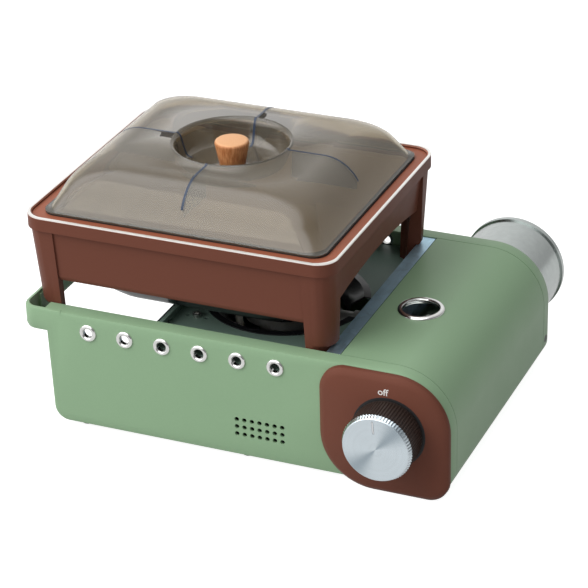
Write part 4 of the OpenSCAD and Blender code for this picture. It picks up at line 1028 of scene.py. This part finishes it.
for name, tint, plate, shape in (
    ("lid_ribs", clear_plastic("rib_acrylic", RIB_TINT, RIB_CLEARNESS), RIB_PLATE, rib_plate),
    ("lid_rib_edges", sprayed("glued_edge", GLUE_BLUE, 0.3, gloss=0.4), GLUE_WIDTH, glued_line),
):
    rib_work = bmesh.new()
    for quarter in range(4):
        sideways = quarter % 2 == 0
        line, falls = shape(lid_half.x if sideways else lid_half.y, sideways)
        upper, edges = chain(rib_work, line)
        lower = bmesh.ops.extrude_edge_only(rib_work, edges=edges)["geom"]
        under = [item for item in lower if isinstance(item, bmesh.types.BMVert)]
        for vert in under:
            nearest = min(range(len(line)), key=lambda i: (vert.co - Vector(line[i])).length)
            bmesh.ops.translate(rib_work, verts=[vert], vec=(0, 0, -falls[nearest]))
        spoke = Matrix.Rotation(math.radians(90 * quarter), 3, "Z")
        bmesh.ops.rotate(rib_work, verts=upper + under, cent=(0, 0, 0), matrix=spoke)
    bmesh.ops.translate(rib_work, verts=rib_work.verts, vec=(lid_centre.x, lid_centre.y, 0))
    ribs = walled(finished(rib_work, name), plate, offset=0.0)
    goes_with(ribs, tint, "lid_shell")

# ---------------------------------------------------------------- beech knob of the lid
# Turned beech on a screw in the lid's recess, with the grain upright on its side and the end grain
# on its rounded top.
BEECH_PALE = (224, 160, 108)
BEECH_DARK = (172, 98, 52)
BEECH_TOP = (236, 178, 128)
UPRIGHT_STRETCH = (1, 1, 0.06)
END_GRAIN_FROM = 0.0009
END_GRAIN_TO = 0.0002
KNOB_FOOT = 0.0030
KNOB_BROW = (0.0002, 0.0020)
KNOB_TOP = 0.0004
KNOB_STEPS = 96
KNOB_ROUNDING = 0.0016
ROUNDING_STEPS = 5
LEVEL = 1e-5
RIM_TURN = 0.5

wood_low, wood_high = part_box("lid_knob")
wood_radius = (wood_high.x - wood_low.x) / 2
knob_work = bmesh.new()
knob_verts, knob_edges = chain(
    knob_work,
    (
        (0, 0, wood_low.z),
        (wood_radius - KNOB_FOOT, 0, wood_low.z),
        (wood_radius - KNOB_BROW[0], 0, wood_high.z - KNOB_BROW[1]),
        (wood_radius - KNOB_TOP, 0, wood_high.z),
        (0, 0, wood_high.z),
    ),
)
bmesh.ops.spin(
    knob_work,
    geom=knob_verts + knob_edges,
    cent=(0, 0, 0),
    axis=(0, 0, 1),
    angle=math.tau,
    steps=KNOB_STEPS,
    use_merge=True,
)
bmesh.ops.remove_doubles(knob_work, verts=knob_work.verts, dist=MERGE_DISTANCE)
bmesh.ops.recalc_face_normals(knob_work, faces=knob_work.faces)
top_edges = [
    edge
    for edge in knob_work.edges
    if edge.calc_face_angle(0) > RIM_TURN
    and all(vert.co.z > wood_high.z - LEVEL for vert in edge.verts)
]
bmesh.ops.bevel(
    knob_work,
    geom=top_edges,
    affect="EDGES",
    offset=KNOB_ROUNDING,
    segments=ROUNDING_STEPS,
    profile=0.5,
    material=-1,
)
bmesh.ops.translate(knob_work, verts=knob_work.verts, vec=(lid_centre.x, lid_centre.y, 0))


def beech_wood(name, top):
    """Oiled beech: upright fibres with short dark flecks, and dotted end grain up at the top."""
    material, shader, place = new_material(name, 0.45)
    tree = material.node_tree
    upright = tree.nodes.new("ShaderNodeMapping")
    upright.inputs["Scale"].default_value = UPRIGHT_STRETCH
    link(tree, place, upright.inputs["Vector"])
    fibre = noise(tree, upright.outputs["Vector"], 900, 4, 0.6)
    fleck = noise(tree, upright.outputs["Vector"], 2600, 2)
    dotted = noise(tree, place, 1500, 3)
    pale, dark, end_tone = linear(BEECH_PALE), linear(BEECH_DARK), linear(BEECH_TOP)
    side = blended(tree, ranged(tree, fibre, 0.0, 1.0, 0.3, 0.7), dark, pale)
    side = blended(tree, ranged(tree, fleck, 0.0, 0.5, 0.58, 0.75), side, dark)
    end_grain = blended(tree, ranged(tree, dotted, 0.0, 0.6, 0.5, 0.8), end_tone, pale)
    height = tree.nodes.new("ShaderNodeSeparateXYZ")
    link(tree, place, height.inputs["Vector"])
    on_top = ranged(tree, height.outputs["Z"], 0.0, 1.0, top - END_GRAIN_FROM, top - END_GRAIN_TO)
    link(tree, blended(tree, on_top, side, end_grain), shader.inputs["Base Color"])
    link(tree, ranged(tree, fibre, 0.38, 0.55), shader.inputs["Roughness"])
    bumped(tree, shader, fibre, 0.15)
    return material


wood_knob = finished(knob_work, "lid_wood_knob", crisp=40)
stands_for(wood_knob, beech_wood("beech", wood_high.z), "lid_knob")
